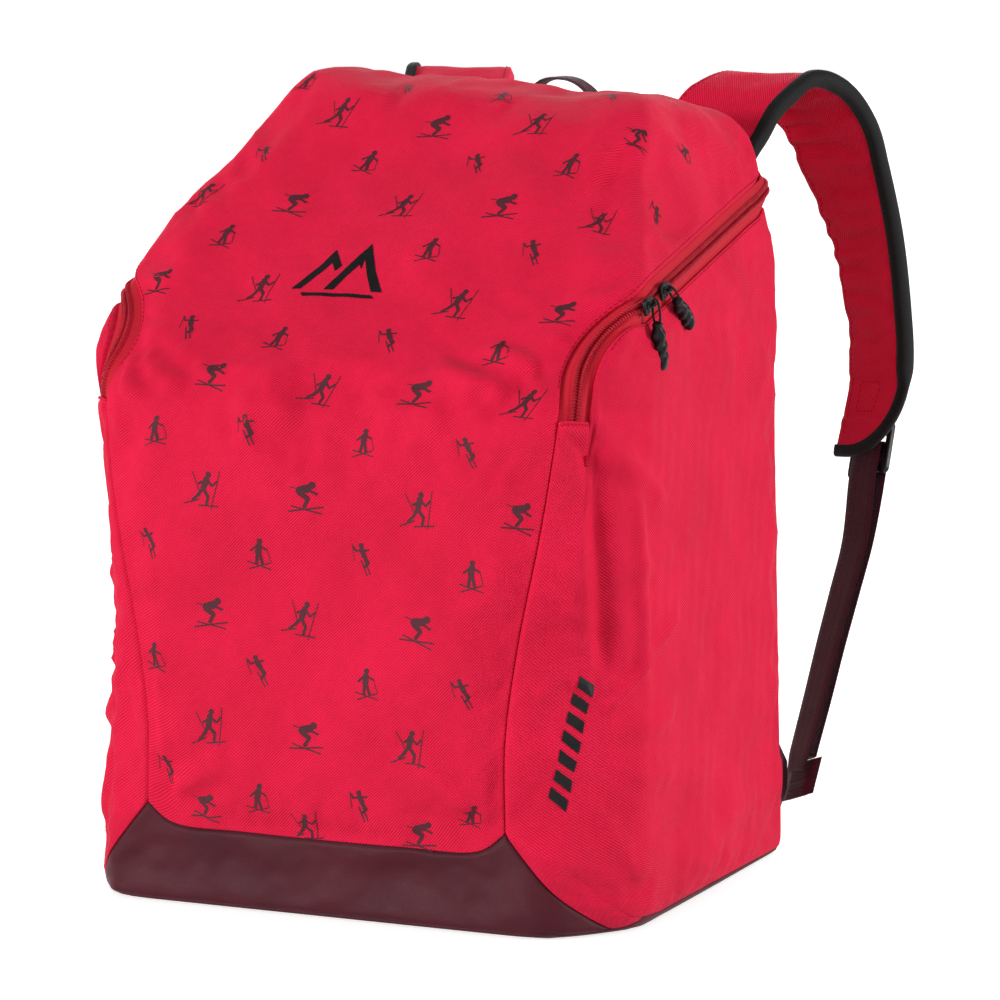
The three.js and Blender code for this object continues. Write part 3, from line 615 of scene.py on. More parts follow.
class Finish:
    """A procedural material: a principled shader and short calls that add nodes to it."""

    def __init__(self, name, roughness, specular, **shader):
        self.material = bpy.data.materials.new(name)
        self.material.use_nodes = True
        self.tree = self.material.node_tree
        self.shader = self.tree.nodes["Principled BSDF"]
        self.shader.inputs["Roughness"].default_value = roughness
        self.shader.inputs["Specular IOR Level"].default_value = specular
        for socket, value in shader.items():
            self.shader.inputs[socket.replace("_", " ")].default_value = value

    def put(self, socket, value):
        if isinstance(value, bpy.types.NodeSocket):
            self.tree.links.new(value, socket)
        else:
            socket.default_value = value

    def node(self, kind, out=0, settings=(), **sockets):
        made = self.tree.nodes.new("ShaderNode" + kind)
        for key, value in dict(settings).items():
            setattr(made, key, value)
        for key, value in sockets.items():
            index = int(key[1:]) if key[0] == "i" and key[1:].isdigit() else key.replace("_", " ")
            self.put(made.inputs[index], value)
        return made.outputs[out]

    def calc(self, operation, a, b=0.0):
        return self.node("Math", settings={"operation": operation}, i0=a, i1=b)

    def along_cloth(self, scale):
        """Cloth coordinates in units of a length in metres, as u and v."""
        where = self.node("UVMap", settings={"uv_map": "cloth"})
        parts = self.tree.nodes.new("ShaderNodeSeparateXYZ")
        self.put(parts.inputs[0], where)
        return [self.calc("DIVIDE", parts.outputs[k], scale) for k in (0, 1)]

    def in_space(self):
        return self.node("TexCoord", out=3)

    def noise(self, size, detail=3.0, roughness=0.55):
        return self.node("TexNoise", Vector=self.in_space(), Scale=1 / size, Detail=detail,
                         Roughness=roughness)

    def mix(self, share, dark, light):
        ramp = self.tree.nodes.new("ShaderNodeMix")
        ramp.data_type = "RGBA"
        self.put(ramp.inputs[0], share)
        self.put(ramp.inputs[6], dark)
        self.put(ramp.inputs[7], light)
        return ramp.outputs[2]

    def span(self, value, low, high, to_low=0.0, to_high=1.0):
        return self.node("MapRange", Value=value, From_Min=low, From_Max=high, To_Min=to_low,
                         To_Max=to_high)

    def colour(self, value):
        self.put(self.shader.inputs["Base Color"], value)

    def rough(self, value):
        self.put(self.shader.inputs["Roughness"], value)

    def bump(self, *layers):
        """Each layer is a height and how many metres it stands for."""
        normal = None
        for height, distance in layers:
            made = self.tree.nodes.new("ShaderNodeBump")
            self.put(made.inputs["Height"], height)
            made.inputs["Distance"].default_value = distance
            if normal is not None:
                self.put(made.inputs["Normal"], normal)
            normal = made.outputs[0]
        self.put(self.shader.inputs["Normal"], normal)

    def wave(self, value):
        """0 to 1 sine of a coordinate, one cycle per unit."""
        turn = self.calc("MULTIPLY", value, 2 * math.pi)
        return self.span(self.calc("SINE", turn), -1.0, 1.0)


def woven(name, colour, shade, pitch, relief_depth, roughness=0.75, sheen=0.02, slant=0.95,
          fleck=0.25):
    """Twill cloth: fine slanted ribs cut by cross threads, with soft uneven dye."""
    f = Finish(name, roughness, 0.16, Sheen_Weight=sheen, Sheen_Roughness=0.45)
    u, v = f.along_cloth(pitch)
    rib = f.wave(f.calc("ADD", f.calc("MULTIPLY", u, slant), v))
    cross = f.wave(f.calc("SUBTRACT", f.calc("MULTIPLY", u, 0.5), v))
    weave = f.calc("MULTIPLY", f.calc("POWER", rib, 0.8), f.span(cross, 0, 1, 0.6, 1.0))
    dye = f.noise(0.05)
    slub = f.noise(0.004, 2.0)
    light = f.calc("ADD", f.calc("MULTIPLY", weave, 1 - fleck), f.calc("MULTIPLY", slub, fleck))
    light = f.calc("ADD", light, f.span(dye, 0.3, 0.7, -0.12, 0.12))
    f.colour(f.mix(f.span(light, 0.1, 0.9), shade, colour))
    f.rough(f.span(weave, 0, 1, roughness + 0.1, roughness - 0.08))
    f.bump((dye, 0.0012), (weave, relief_depth))
    return f.material


def tarpaulin():
    """Smooth coated cloth with a faint grain and soft sheen."""
    f = Finish("tarpaulin", 0.5, 0.1)
    grain = f.noise(0.0016, 4.0, 0.7)
    cloud = f.noise(0.05)
    f.colour(f.mix(f.span(cloud, 0.3, 0.7), srgb(70, 24, 33), srgb(80, 28, 38)))
    f.rough(f.span(grain, 0.3, 0.7, 0.44, 0.58))
    f.bump((cloud, 0.001), (grain, 0.00012))
    return f.material


def plastic(name, colour, roughness, grain_size=0.0011, grain_depth=0.00006):
    """Moulded plastic with a fine spark-eroded grain and slightly rubbed tone."""
    f = Finish(name, roughness, 0.22)
    grain = f.noise(grain_size, 3.0, 0.6)
    rub = f.noise(0.012)
    f.colour(f.mix(f.span(rub, 0.3, 0.7), [0.7 * c for c in colour[:3]] + [1], colour))
    f.rough(f.span(grain, 0.3, 0.7, roughness - 0.08, roughness + 0.1))
    f.bump((grain, grain_depth))
    return f.material


def ribbed(name, colour, shade, pitch=0.0016, depth=0.00022, roughness=0.72):
    """Webbing: ribs across the band, rows of chevron thread along it."""
    f = Finish(name, roughness, 0.2, Sheen_Weight=0.04)
    u, v = f.along_cloth(pitch)
    chevron = f.calc("PINGPONG", f.calc("MULTIPLY", u, 0.45), 1.0)
    rib = f.wave(f.calc("ADD", v, chevron))
    row = f.wave(f.calc("MULTIPLY", u, 0.5))
    weave = f.calc("MULTIPLY", rib, f.span(row, 0, 1, 0.55, 1.0))
    wear = f.noise(0.02)
    f.colour(f.mix(f.calc("MULTIPLY", weave, f.span(wear, 0.3, 0.7, 0.7, 1.0)), shade, colour))
    f.bump((weave, depth))
    return f.material


def air_mesh():
    """Spacer mesh over foam: rows of small open cells, with painted shade in their depths."""
    f = Finish("air_mesh", 0.85, 0.5, Sheen_Weight=0.3)
    u, v = f.along_cloth(0.0042)
    cells = f.node("TexVoronoi", settings={"voronoi_dimensions": "2D"},
                   Vector=f.node("CombineXYZ", X=u, Y=f.calc("MULTIPLY", v, 0.8)),
                   Scale=1.0, Randomness=0.18)
    rim = f.span(cells, 0.18, 0.42)
    # painted shade: each cell near black in its depth, lighter towards its rim
    f.colour(f.mix(rim, srgb(12, 12, 13), srgb(56, 55, 57)))
    f.bump((rim, 0.0005))
    return f.material


def stitched_thread(name, colour):
    """Dull twisted thread, with painted shade between its fibres."""
    f = Finish(name, 0.8, 0.1)
    fibre_relief_and_shade = f.noise(0.0009)
    # painted shade: the thread darker between its fibres, where the same noise sinks the bump
    f.colour(f.mix(f.span(fibre_relief_and_shade, 0.3, 0.7), [0.6 * c for c in colour[:3]] + [1], colour))
    f.bump((fibre_relief_and_shade, 0.0001))
    return f.material


def ink(name, colour, roughness):
    """Screen print that lets a little of the weave and the wear show."""
    f = Finish(name, roughness, 0.2)
    u, v = f.along_cloth(0.0012)
    weave = f.wave(f.calc("ADD", u, v))
    patch = f.noise(0.004)
    light = [min(1.0, 1.4 * c + 0.002) for c in colour[:3]] + [1]
    f.colour(f.mix(f.calc("MULTIPLY", weave, f.span(patch, 0.3, 0.7)), colour, light))
    f.bump((weave, 0.0001))
    return f.material


SHELL = woven("shell_fabric", srgb(246, 22, 74), srgb(196, 8, 48), 0.0018, 0.0003)
LINING = woven("lining", srgb(74, 74, 80), srgb(46, 46, 52), 0.0012, 0.00012, 0.6)
# the strap's red cloth, painted a little lighter than the shell's to stand in for light on the
# strap's shaded tail
STRAP_CLOTH_PAINTED_LIGHT = woven("strap_fabric_painted_light", srgb(246, 28, 76), srgb(202, 12, 50), 0.0018, 0.0003)
BINDING = ribbed("binding_tape", srgb(28, 27, 27), srgb(9, 9, 9), 0.0013, 0.00015)
WEBBING = ribbed("webbing", srgb(98, 38, 54), srgb(48, 16, 25))
ZIP_TAPE = ribbed("zip_tape", srgb(226, 26, 54), srgb(178, 12, 36), 0.0011, 0.00012)
COIL_PLASTIC = plastic("coil_plastic", srgb(196, 34, 54), 0.4)
TARP = tarpaulin()
RUBBER = plastic("moulded_rubber", srgb(12, 12, 13), 0.4, 0.0008, 0.00008)
HARDWARE = plastic("buckle_plastic", srgb(15, 15, 16), 0.36)
CORD = ribbed("braided_cord", srgb(30, 30, 32), srgb(10, 10, 11), 0.0009, 0.0002)
MESH = air_mesh()
BOARD = plastic("board", srgb(60, 60, 62), 0.55)
THREAD = stitched_thread("red_thread", srgb(190, 12, 44))
PRINT = ink("print_ink", srgb(74, 28, 38), 0.6)
BLACK_INK = ink("black_ink", srgb(12, 9, 10), 0.42)


# ---------------------------------------------------------------- bag shell
def of_line(line):
    return lambda t: skin(line.at(np.asarray(t)))


def chained(parts):
    """One line from several, each given as (function, spans), even in spans."""
    whole = sum(spans for _, spans in parts)

    def read(t):
        t = np.atleast_1d(t) * whole
        out = np.zeros((len(t), 3))
        start = 0
        for make, spans in parts:
            inside = (t >= start) & (t <= start + spans + 1e-9)
            out[inside] = make(np.clip((t[inside] - start) / spans, 0, 1))
            start += spans
        return out
    return read


def mirrored(line):
    return lambda t: mirror(line(t))


SLANT = of_line(SEAM_SLANT)
RISE = of_line(SEAM_RISE)
LID_SIDE = dense(LID_EDGE[:CORNER + 1])
LID_REAR = dense(LID_EDGE[CORNER:LAST - CORNER + 1][::-1])
BODY_SIDE = dense(BODY_EDGE[:CORNER + 1])
BODY_REAR = dense(BODY_EDGE[CORNER:LAST - CORNER + 1][::-1])
REAR_SEAM = of_line(Line([(151, BACK_Y, 0), BODY_EDGE[CORNER]], False))


BELOW_FOLD = 0.42    # share of the front cloth's height that belongs to the front panel


def front_and_lid():
    """Front panel and lid as one cloth, which folds along the hinge line."""
    us = spread(120, 0.0022)
    low_v, high_v = spread(84, 0.003), spread(96, 0.003)
    low_v = np.append(low_v[low_v < 0.985], 1.0)
    high_v = high_v[high_v > 0.008]
    lower = web(of_line(PATCH_TOP), of_line(HINGE_LINE), mirrored(RISE), RISE, us, low_v)
    upper = web(of_line(HINGE_LINE), LID_REAR, mirrored(LID_SIDE), LID_SIDE, us, high_v)
    guides = np.concatenate([lower, upper], axis=1)
    vs = np.concatenate([low_v * BELOW_FOLD, BELOW_FOLD + high_v * (1 - BELOW_FOLD)])
    face, back = cloth_faces(guides, us, vs, pressure=1.1, slack=0.012, cap=4)
    uv = face_uv(-face[..., 0], run_length(face[len(us) // 2]))
    obj = sewn_panel("front_and_lid", face, back, uv, SHELL, LINING)
    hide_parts("front_panel", "lid_panel")
    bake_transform(obj)
    return obj


def side_panel(hand, turn):
    """Side of the bag, from the seam on the front round the corner to the seam at the back."""
    us = spread(110, 0.0028)
    vs = spread(110, 0.0022)
    across_zip = Line([LID_EDGE[0], (LID_EDGE[0] + BODY_EDGE[0]) / 2, BODY_EDGE[0]], False)
    top = chained([(across_zip.by_station, 2), (BODY_SIDE, CORNER)])
    left = chained([(SLANT, SLANT_SPANS), (RISE, RISE_SPANS)])
    guides = web(of_line(SIDE_FOOT), top, left, REAR_SEAM, us, vs) * turn
    face, back = cloth_faces(guides, us, vs, pressure=1.1, slack=0.012, cap=4)
    reach = run_length(face[:, len(vs) // 3])
    uv = face_uv(0.65 * reach[:, None], face[..., 2])
    obj = sewn_panel("side_panel_" + hand + "_cloth", face, back, uv, SHELL, LINING)
    return installed(obj, "bag_body", "shell_fabric", "side_panel_" + hand)


def upright_panel(name, guides, us, vs, finish, slot, node):
    face, back = cloth_faces(guides, us, vs)
    obj = sewn_panel(name, face, back, face_uv(face[..., 0], face[..., 2]), finish, LINING)
    return installed(obj, "bag_body", slot, node)


def base_patch():
    """Tarpaulin patch low on the front, round both front corners."""
    us, vs = spread(110, 0.0022), spread(20, 0.012)
    guides = web(of_line(FRONT_FOOT), of_line(PATCH_TOP), mirrored(SLANT), SLANT, us, vs)
    return upright_panel("tarpaulin_patch", guides, us, vs, TARP, "base_tarpaulin",
                         "front_base_patch")


def back_panel():
    """Flat panel that lies against the wearer's back, under the pads."""
    us, vs = spread(70, 0.0025), spread(80, 0.002)
    guides = web(of_line(BACK_FOOT), BODY_REAR, mirrored(REAR_SEAM), REAR_SEAM, us, vs)
    return upright_panel("back_panel_cloth", guides, us, vs, SHELL, "shell_fabric",
                         "back_panel")


def base_panel():
    """Tarpaulin underside, flat so that the bag stands on it."""
    us, vs = spread(50, 0.003), spread(50, 0.003)
    sides = of_line(SIDE_FOOT)
    guides = web(of_line(FRONT_FOOT), of_line(BACK_FOOT), mirrored(sides), sides, us, vs)
    edge = edge_distance(skin(guides))
    face = skin(guides, rolled(edge, 1.4))
    uv = face_uv(face[..., 0], face[..., 1])
    obj = sewn_panel("base_panel_cloth", face, skin(guides, 3), uv, TARP, LINING)
    return installed(obj, "bag_body", "base_tarpaulin", "base_panel")


# ---------------------------------------------------------------- things laid on the cloth
class Surface:
    """The finished outside of some pieces, to lay prints and stitches on."""

    def __init__(self, *objs):
        points, faces = [], []
        for obj in objs:
            start = len(points)
            points += [v.co / MM for v in obj.data.vertices]
            faces += [[start + k for k in f.vertices] for f in obj.data.polygons]
        self.tree = BVHTree.FromPolygons(points, faces)

    def above(self, guides, lift):
        """Points straight out from the core through the guides, a little above the cloth."""
        laid, facing = [], []
        for guide in np.asarray(guides, float).reshape(-1, 3):
            out = unit(guide - CORE)
            hit, normal, _, _ = self.tree.ray_cast(Vector(guide + out * 40), Vector(-out))
            if hit is None:
                hit, normal = Vector(guide), Vector(out)
            normal = np.array(normal if normal.dot(Vector(out)) > 0 else -normal)
            laid.append(np.array(hit) + normal * lift)
            facing.append(normal)
        return np.array(laid), np.array(facing)


def outline_mesh(shapes, finest):
    """Flat outlines, filled and cut into small faces. Each is a list of (x, y)."""
    points, faces = [], []
    for shape in shapes:
        mesh = bpy.data.meshes.new("outline")
        mesh.from_pydata([(x, y, 0) for x, y in shape], [], [list(range(len(shape)))])
        work = bmesh.new()
        work.from_mesh(mesh)
        bmesh.ops.triangulate(work, faces=work.faces)
        for _ in range(5):
            wide = [e for e in work.edges if e.calc_length() > finest]
            if not wide:
                break
            bmesh.ops.subdivide_edges(work, edges=wide, cuts=1)
            bmesh.ops.triangulate(work, faces=work.faces)
        work.verts.index_update()
        start = len(points)
        points += [tuple(v.co)[:2] for v in work.verts]
        faces += [[start + v.index for v in f.verts] for f in work.faces]
        work.free()
        bpy.data.meshes.remove(mesh)
    return np.array(points), faces


def stroke(ax, ay, bx, by, wide):
    """Limb, ski or pole: a bar with tapered round ends."""
    a, b = np.array([ax, ay]), np.array([bx, by])
    run = unit(b - a)
    side = np.array([-run[1], run[0]]) * wide / 2
    return [a - side, b - side, b + run * wide * 0.4, b + side, a + side, a - run * wide * 0.4]


def disc(x, y, radius):
    turn = np.arange(12) * math.pi / 6
    return [(x + radius * math.cos(t), y + radius * math.sin(t)) for t in turn]


def figure(head, *bars):
    return [disc(*head)] + [stroke(*bar) for bar in bars]


# Four small figures, one unit tall: a head as (x, y, radius), then limbs, skis and poles as
# (x, y, x, y, width) bars.
STRIDING = figure((0.06, 0.86, 0.085), (0.02, 0.76, -0.05, 0.46, 0.17),
                  (0.02, 0.72, 0.2, 0.56, 0.07), (0.2, 0.56, 0.33, 0.7, 0.06),
                  (0.4, 0.98, 0.24, -0.06, 0.028), (-0.42, 0.88, -0.12, 0.3, 0.028),
                  (0, 0.7, -0.2, 0.58, 0.07), (-0.05, 0.46, 0.12, 0.26, 0.1),
                  (0.12, 0.26, 0.08, 0.04, 0.08), (-0.06, 0.46, -0.2, 0.26, 0.1),
                  (-0.2, 0.26, -0.36, 0.12, 0.08), (-0.16, 0.0, 0.44, 0.03, 0.04),
                  (-0.6, 0.0, -0.16, 0.16, 0.04))
CROUCHING = figure((0.24, 0.72, 0.1), (0.16, 0.64, -0.16, 0.56, 0.22),
                   (-0.16, 0.52, 0.1, 0.36, 0.14), (0.1, 0.36, -0.04, 0.14, 0.1),
                   (0.14, 0.58, 0.36, 0.48, 0.07), (0.4, 0.5, -0.4, 0.66, 0.03),
                   (-0.5, 0.02, 0.52, 0.14, 0.045), (-0.42, 0.16, 0.46, -0.04, 0.04))
LEAPING = figure((-0.1, 0.9, 0.09), (-0.08, 0.8, 0.06, 0.54, 0.18), (0.06, 0.54, 0.22, 0.36, 0.12),
                 (0.22, 0.36, 0.06, 0.2, 0.1), (-0.06, 0.76, -0.28, 0.7, 0.07),
                 (-0.28, 0.7, -0.38, 0.84, 0.06), (0.0, 0.74, 0.2, 0.8, 0.07),
                 (-0.06, 0.42, 0.2, -0.06, 0.045), (0.06, 0.46, 0.32, 0.0, 0.045),
                 (-0.42, 0.9, -0.3, 0.36, 0.028))
CROSSING = figure((0.04, 0.86, 0.1), (0.02, 0.74, -0.02, 0.44, 0.22),
                  (-0.04, 0.46, -0.1, 0.1, 0.11), (0.03, 0.46, 0.12, 0.12, 0.11),
                  (0.06, 0.7, 0.3, 0.6, 0.07), (-0.06, 0.7, -0.28, 0.52, 0.07),
                  (-0.42, 0.16, 0.42, -0.04, 0.045), (-0.36, -0.08, 0.4, 0.18, 0.045),
                  (0.3, 0.62, 0.42, 0.2, 0.028))
MOTIF_PITCH, MOTIF_START = 66, -40    # across the cloth, between figures of a row
ROW_PITCH = 33.5       # up the cloth; every other row is shifted by half a pitch
FIRST_ROW = 73         # height of the lowest whole row; a lone one below it is squeezed in
MOTIF_TALL = (17, 20.5)               # the figures of even and of odd rows
FOLD_UP, FOLD_CLEAR = (274, 304), 13  # rows near the fold move just below or above it
BEND = 294             # above this height the cloth leans back at the slope of the lid
LEAN = unit(np.array([0, 184.0, 176]))
EMBLEM_AT, EMBLEM_CLEAR = (-23, 391), 42
SEAM_CLEAR, PATCH_CLEAR, LID_BACK = 12, 54, 118
INK_LIFT, EMBLEM_LIFT, MARK_LIFT = 0.18, 0.28, 0.4    # how far prints stand above the cloth
MARK_FOOT, MARK_HEAD = np.array([144.5, -154, 74]), np.array([157, -140, 147])
MARK_COUNT, MARK_PITCH = 7, 10.9


def on_front(across, up):
    """Guide point across and up the front cloth, with both ways along the cloth there.

    The cloth leans back above the bend, and on the lid it turns down over the side slopes.
    """
    right = np.array([1.0, 0, 0])
    if up < BEND:
        return np.array([across, FRONT_Y, up]), right, np.array([0, 0, 1.0])
    place = np.array([across, FRONT_Y, BEND]) + LEAN * (up - BEND)
    front, (slope, reach) = SLOPES[0][0], SLOPES[2 if across > 0 else 3]
    proud = (place - CORE) @ slope - reach
    if proud < 0:
        return place, right, LEAN
    ridge = np.cross(front, slope)
    over, down = unit(np.cross(ridge, front)), unit(np.cross(ridge, slope))
    turn = down - over
    place = place + turn * (proud / (over @ slope))
    return place, right + turn * (right @ over), LEAN + turn * (LEAN @ over)


def off_the_lid(place):
    """Whether a guide point on the lid's side slopes is too near the zip or the rear edge."""
    zip_edge = LID_SIDE(np.linspace(0, 1, 40))
    low = np.interp(place[1], zip_edge[:, 1], zip_edge[:, 2]) + SEAM_CLEAR + 2
    return place[1] > LID_BACK or place[2] < low


def beyond_seam(across, high):
    """Whether a spot on the front cloth is too near the side seam or the zip."""
    rise = RISE(np.linspace(0, 1, 30))
    lid = LID_SIDE(np.linspace(0, 0.6, 30))
    seam_up = np.concatenate([rise[:, 2], BEND + (lid - [0, FRONT_Y, BEND]) @ LEAN])
    seam_across = np.concatenate([rise[:, 0], lid[:, 0]])
    return abs(across) > np.interp(high, seam_up, seam_across) - SEAM_CLEAR


def motif_spot(row, column, rng):
    """Where a figure of the staggered rows stands, across and up the front cloth."""
    up = FIRST_ROW + ROW_PITCH * row + (16 if row < 0 else 0)
    shift = -MOTIF_PITCH / 2 if row % 2 else 0
    across = MOTIF_START + shift + MOTIF_PITCH * column + rng.uniform(-4, 4)
    high = up - 0.03 * across + rng.uniform(-3, 3)
    if abs(high - sum(FOLD_UP) / 2) < FOLD_CLEAR:
        high = FOLD_UP[0] if high < sum(FOLD_UP) / 2 else FOLD_UP[1]
    return across, high


def print_rows(surface):
    """Staggered rows of small figures up to the seams; the lid's rows ride on the lid."""
    rng = np.random.default_rng(5)
    sorts = {"bag_body": [], "lid": []}
    shapes = [outline_mesh(figure, 0.24) for figure in (CROSSING, LEAPING, STRIDING, CROUCHING)]
    for row, column in itertools.product(range(-1, 15), range(-4, 5)):
        across, high = motif_spot(row, column, rng)
        place, right, way = on_front(across, high)
        near_emblem = math.hypot(across - EMBLEM_AT[0], high - EMBLEM_AT[1]) < EMBLEM_CLEAR
        turned = abs(way[0]) > 0.01
        at_seam = off_the_lid(place) if turned else beyond_seam(across, high)
        if near_emblem or at_seam or high < PATCH_CLEAR + (7 if abs(across) > 98 else 0):
            continue
        size = MOTIF_TALL[row % 2]
        kind = (2 if row % 2 else 0) + (column + row // 2) % 2
        tilt = rng.uniform(-0.18, 0.1)
        aside = right * math.cos(tilt) + way * math.sin(tilt)
        upward = way * math.cos(tilt) - right * math.sin(tilt)
        flat, faces = shapes[kind]
        spots = place + size * (flat[:, :1] * aside + (flat[:, 1:] - 0.45) * upward)
        sorts["lid" if high > BEND else "bag_body"].append((spots, faces, flat * size))
    for body, figures in sorts.items():
        laid_print("print_" + body, surface, figures, PRINT, body, INK_LIFT)


def laid_print(name, surface, figures, finish, body, lift):
    """One thin printed piece from (guide points, faces, flat points) of several figures."""
    points, faces, flats = [], [], []
    for spots, some, flat in figures:
        start = sum(len(p) for p in points)
        points.append(surface.above(spots, lift)[0])
        faces += [[start + k for k in f] for f in some]
        flats.append(flat)
    obj = piece(name, np.vstack(points), faces, finish, uv=np.vstack(flats))
    return installed(obj, body, None)


def emblem(surface):
    """Generic mark in place of a maker's: two peaks with a snow line."""
    peaks = [
        [(-27, -15), (-21, -15), (-8, 5), (-13, 8)],
        [(-13, 8), (-8, 5), (-4, -1), (-1, 3), (-9, 15)],
        [(-6, -15), (0, -15), (12, 8), (12, 20)],
        [(12, 20), (12, 8), (17, -3), (21, 1)],
        [(17, -3), (21, 1), (31, -15), (24, -15)],
        [(-18, -20), (28, -20), (25, -17.4), (-20, -17.4)],
        [(5, 2), (9, 5), (12, 1), (12, 8), (8.5, 9)],
    ]
    flat, faces = outline_mesh(peaks, 3.5)
    place, right, way = on_front(*EMBLEM_AT)
    spots = place + flat[:, :1] * right + flat[:, 1:] * way
    laid_print("emblem", surface, [(spots, faces, flat)], BLACK_INK, "lid", EMBLEM_LIFT)


def side_marks(surface):
    """Generic slanted bars up the front of the wearer's right side, in place of lettering."""
    upward = unit(MARK_HEAD - MARK_FOOT)
    right = unit(np.cross(upward, -unit((MARK_FOOT + MARK_HEAD) / 2 - CORE)))
    bars = [[(-6, low), (5, low + 4), (5, low + 10.4), (-6, low + 6.4)]
            for low in np.arange(MARK_COUNT) * MARK_PITCH]
    flat, faces = outline_mesh(bars, 2.0)
    spots = MARK_FOOT + flat[:, :1] * right + flat[:, 1:] * upward
    laid_print("side_marks", surface, [(spots, faces, flat)], BLACK_INK, "bag_body", MARK_LIFT)


STITCH_RINGS = [(0, 0.35), (0.12, 0.85), (0.5, 1), (0.88, 0.85), (1, 0.35)]
STITCH_SIDES, STITCH_FLATTEN = 6, 0.6
SEAM_STITCH_R, SEAM_PITCH, SEAM_SHARE, SEAM_LIFT = 0.36, 3.6, 0.68, 0.12
STRAP_STITCH_R, STRAP_PITCH, STRAP_SHARE = 0.32, 3.4, 0.66


def capsules(name, starts, ends, facing, radius):
    """Row of stitches as small spindles lying on the cloth, each from (place, girth) rings."""
    sides, rings = STITCH_SIDES, STITCH_RINGS
    points, faces = [], []
    for a, b, n in zip(starts, ends, facing):
        run = unit(b - a)
        side = unit(np.cross(run, n))
        start = len(points)
        for t, r in rings:
            for k in range(sides):
                turn = 2 * math.pi * k / sides
                points.append(a + (b - a) * t + side * radius * r * math.cos(turn)
                              + n * radius * STITCH_FLATTEN * r * math.sin(turn))
        faces += [[start + k for k in face] for face in tube_faces(len(rings), sides)]
    return piece(name, points, faces, THREAD)


def seam_stitches(name, surface, path, body):
    """Topstitching along a path over the shell."""
    line = Line(path, False, 20)
    count = int(line.length / SEAM_PITCH)
    t = np.arange(count) / count
    starts, facing = surface.above(line.at(t), SEAM_LIFT)
    ends, _ = surface.above(line.at(t + SEAM_SHARE / count), SEAM_LIFT)
    return installed(capsules(name, starts, ends, facing, SEAM_STITCH_R), body, None)


# ---------------------------------------------------------------- zip
FINER = 6              # fine points for each station of the zip
FINE = np.linspace(0, 1, LAST * FINER + 1)
TAPE_THICK = 0.9
TURN_PITCH, TURN_POINTS, TURN_WIDE, TURN_HIGH, WIRE_R = 1.75, 10, 1.2, 0.85, 0.36
ZIP_BODY = {"body": "bag_body", "lid": "lid"}


def zip_line(offset, inset=0.0, flare=0.0):
    """Fine points of the line beside the zip, a depth under the skin."""
    return skin(dense(beside_zip(offset, flare))(FINE), inset)


def zip_tape(owner, side):
    """Tape from the coil's filler cord out under the panel's edge, dished along its middle."""
    share = np.array([0, 0, 0, 0, 0, 0.1, 0.3, 0.5, 0.72, 0.9, 1.0])
    across = np.array([0.06, 0.8, 1.2, 2.0, 2.4, 3.5, 4.3, 5.1, 6.0, 6.8, EDGE + 0.1])
    depth = np.array([1.9, 1.8, 0.4, 0.4, 1.6, 1.3, 1.4, 1.9, 2.0, 2.1, 2.4])
    if owner == "body":
        across[0], depth[0] = -0.8, 3.0      # reaches under the other tape
    rows = [(side * a, d, side * k) for a, d, k in zip(across, depth, share)]
    tuck = tucked(zip_line(-EDGE)) if owner == "body" else 0
    top = np.stack([zip_line(a, d + tuck * abs(k), k) for a, d, k in rows], 1)
    under = np.stack([zip_line(a, d + tuck * abs(k) + TAPE_THICK, k) for a, d, k in rows], 1)
    uv = face_uv(across[None], run_length(top[:, 5])[:, None])
    obj = sewn_panel("zip_tape_" + owner + "_woven", top, under, uv, ZIP_TAPE, ZIP_TAPE)
    return installed(obj, ZIP_BODY[owner], "zip_tape", "zipper_tape_" + owner)


def zip_coil(owner, side):
    """One half of the coil: a wire wound in flat turns that mesh with the other half."""
    inner, outer = zip_line(side * 0.35, 0.5), zip_line(side * 2.9, 0.5)
    middle = Line((inner + outer) / 2, False, 4)
    turns = int(middle.length / TURN_PITCH)
    t = np.arange(turns * TURN_POINTS + 1) / (turns * TURN_POINTS)
    centre = middle.at(t)
    share = np.linspace(0, 1, len(FINE))
    where = np.interp(t, middle.reach[::4] / middle.length, share)
    across = unit(np.stack([np.interp(where, share, (outer - inner)[:, k]) for k in range(3)], 1))
    out = square_to(across, unit(centre - CORE))
    turn = (2 * math.pi * turns * t + (0 if side > 0 else math.pi))[:, None]
    path = centre + across * TURN_WIDE * np.cos(turn) + out * TURN_HIGH * np.sin(turn)
    obj = tube("zip_coil_" + owner + "_wound", path, WIRE_R, 5, COIL_PLASTIC)
    return installed(obj, ZIP_BODY[owner], "zip_coil", "zipper_coil_" + owner)


def frames_along(path):
    """Side and normal at each point of a path, carried along without twisting."""
    run = unit(np.gradient(path, axis=0))
    start = np.array([0, 0, 1.0]) if abs(run[0][2]) < 0.9 else np.array([1.0, 0, 0])
    side = unit(np.cross(run[0], start))
    sides = []
    for r in run:
        side = square_to(r, side)
        sides.append(side)
    sides = np.array(sides)
    return sides, np.cross(run, sides)


def tube(name, path, radius, sides, finish, closed=False):
    """Round wire or cord along a path; radius is one number or one per point."""
    side, up = frames_along(path)
    turn = np.arange(sides) * 2 * math.pi / sides
    radius = np.broadcast_to(np.asarray(radius, float), (len(path),))
    ring = (side[:, None] * np.cos(turn)[:, None] + up[:, None] * np.sin(turn)[:, None])
    points = (path[:, None] + ring * radius[:, None, None]).reshape(-1, 3)
    uv = face_uv(turn[None] * radius[:, None], run_length(path)[:, None])
    faces = tube_faces(len(path), sides, closed)
    return piece(name, points, faces, finish, uv=uv.reshape(-1, 2))


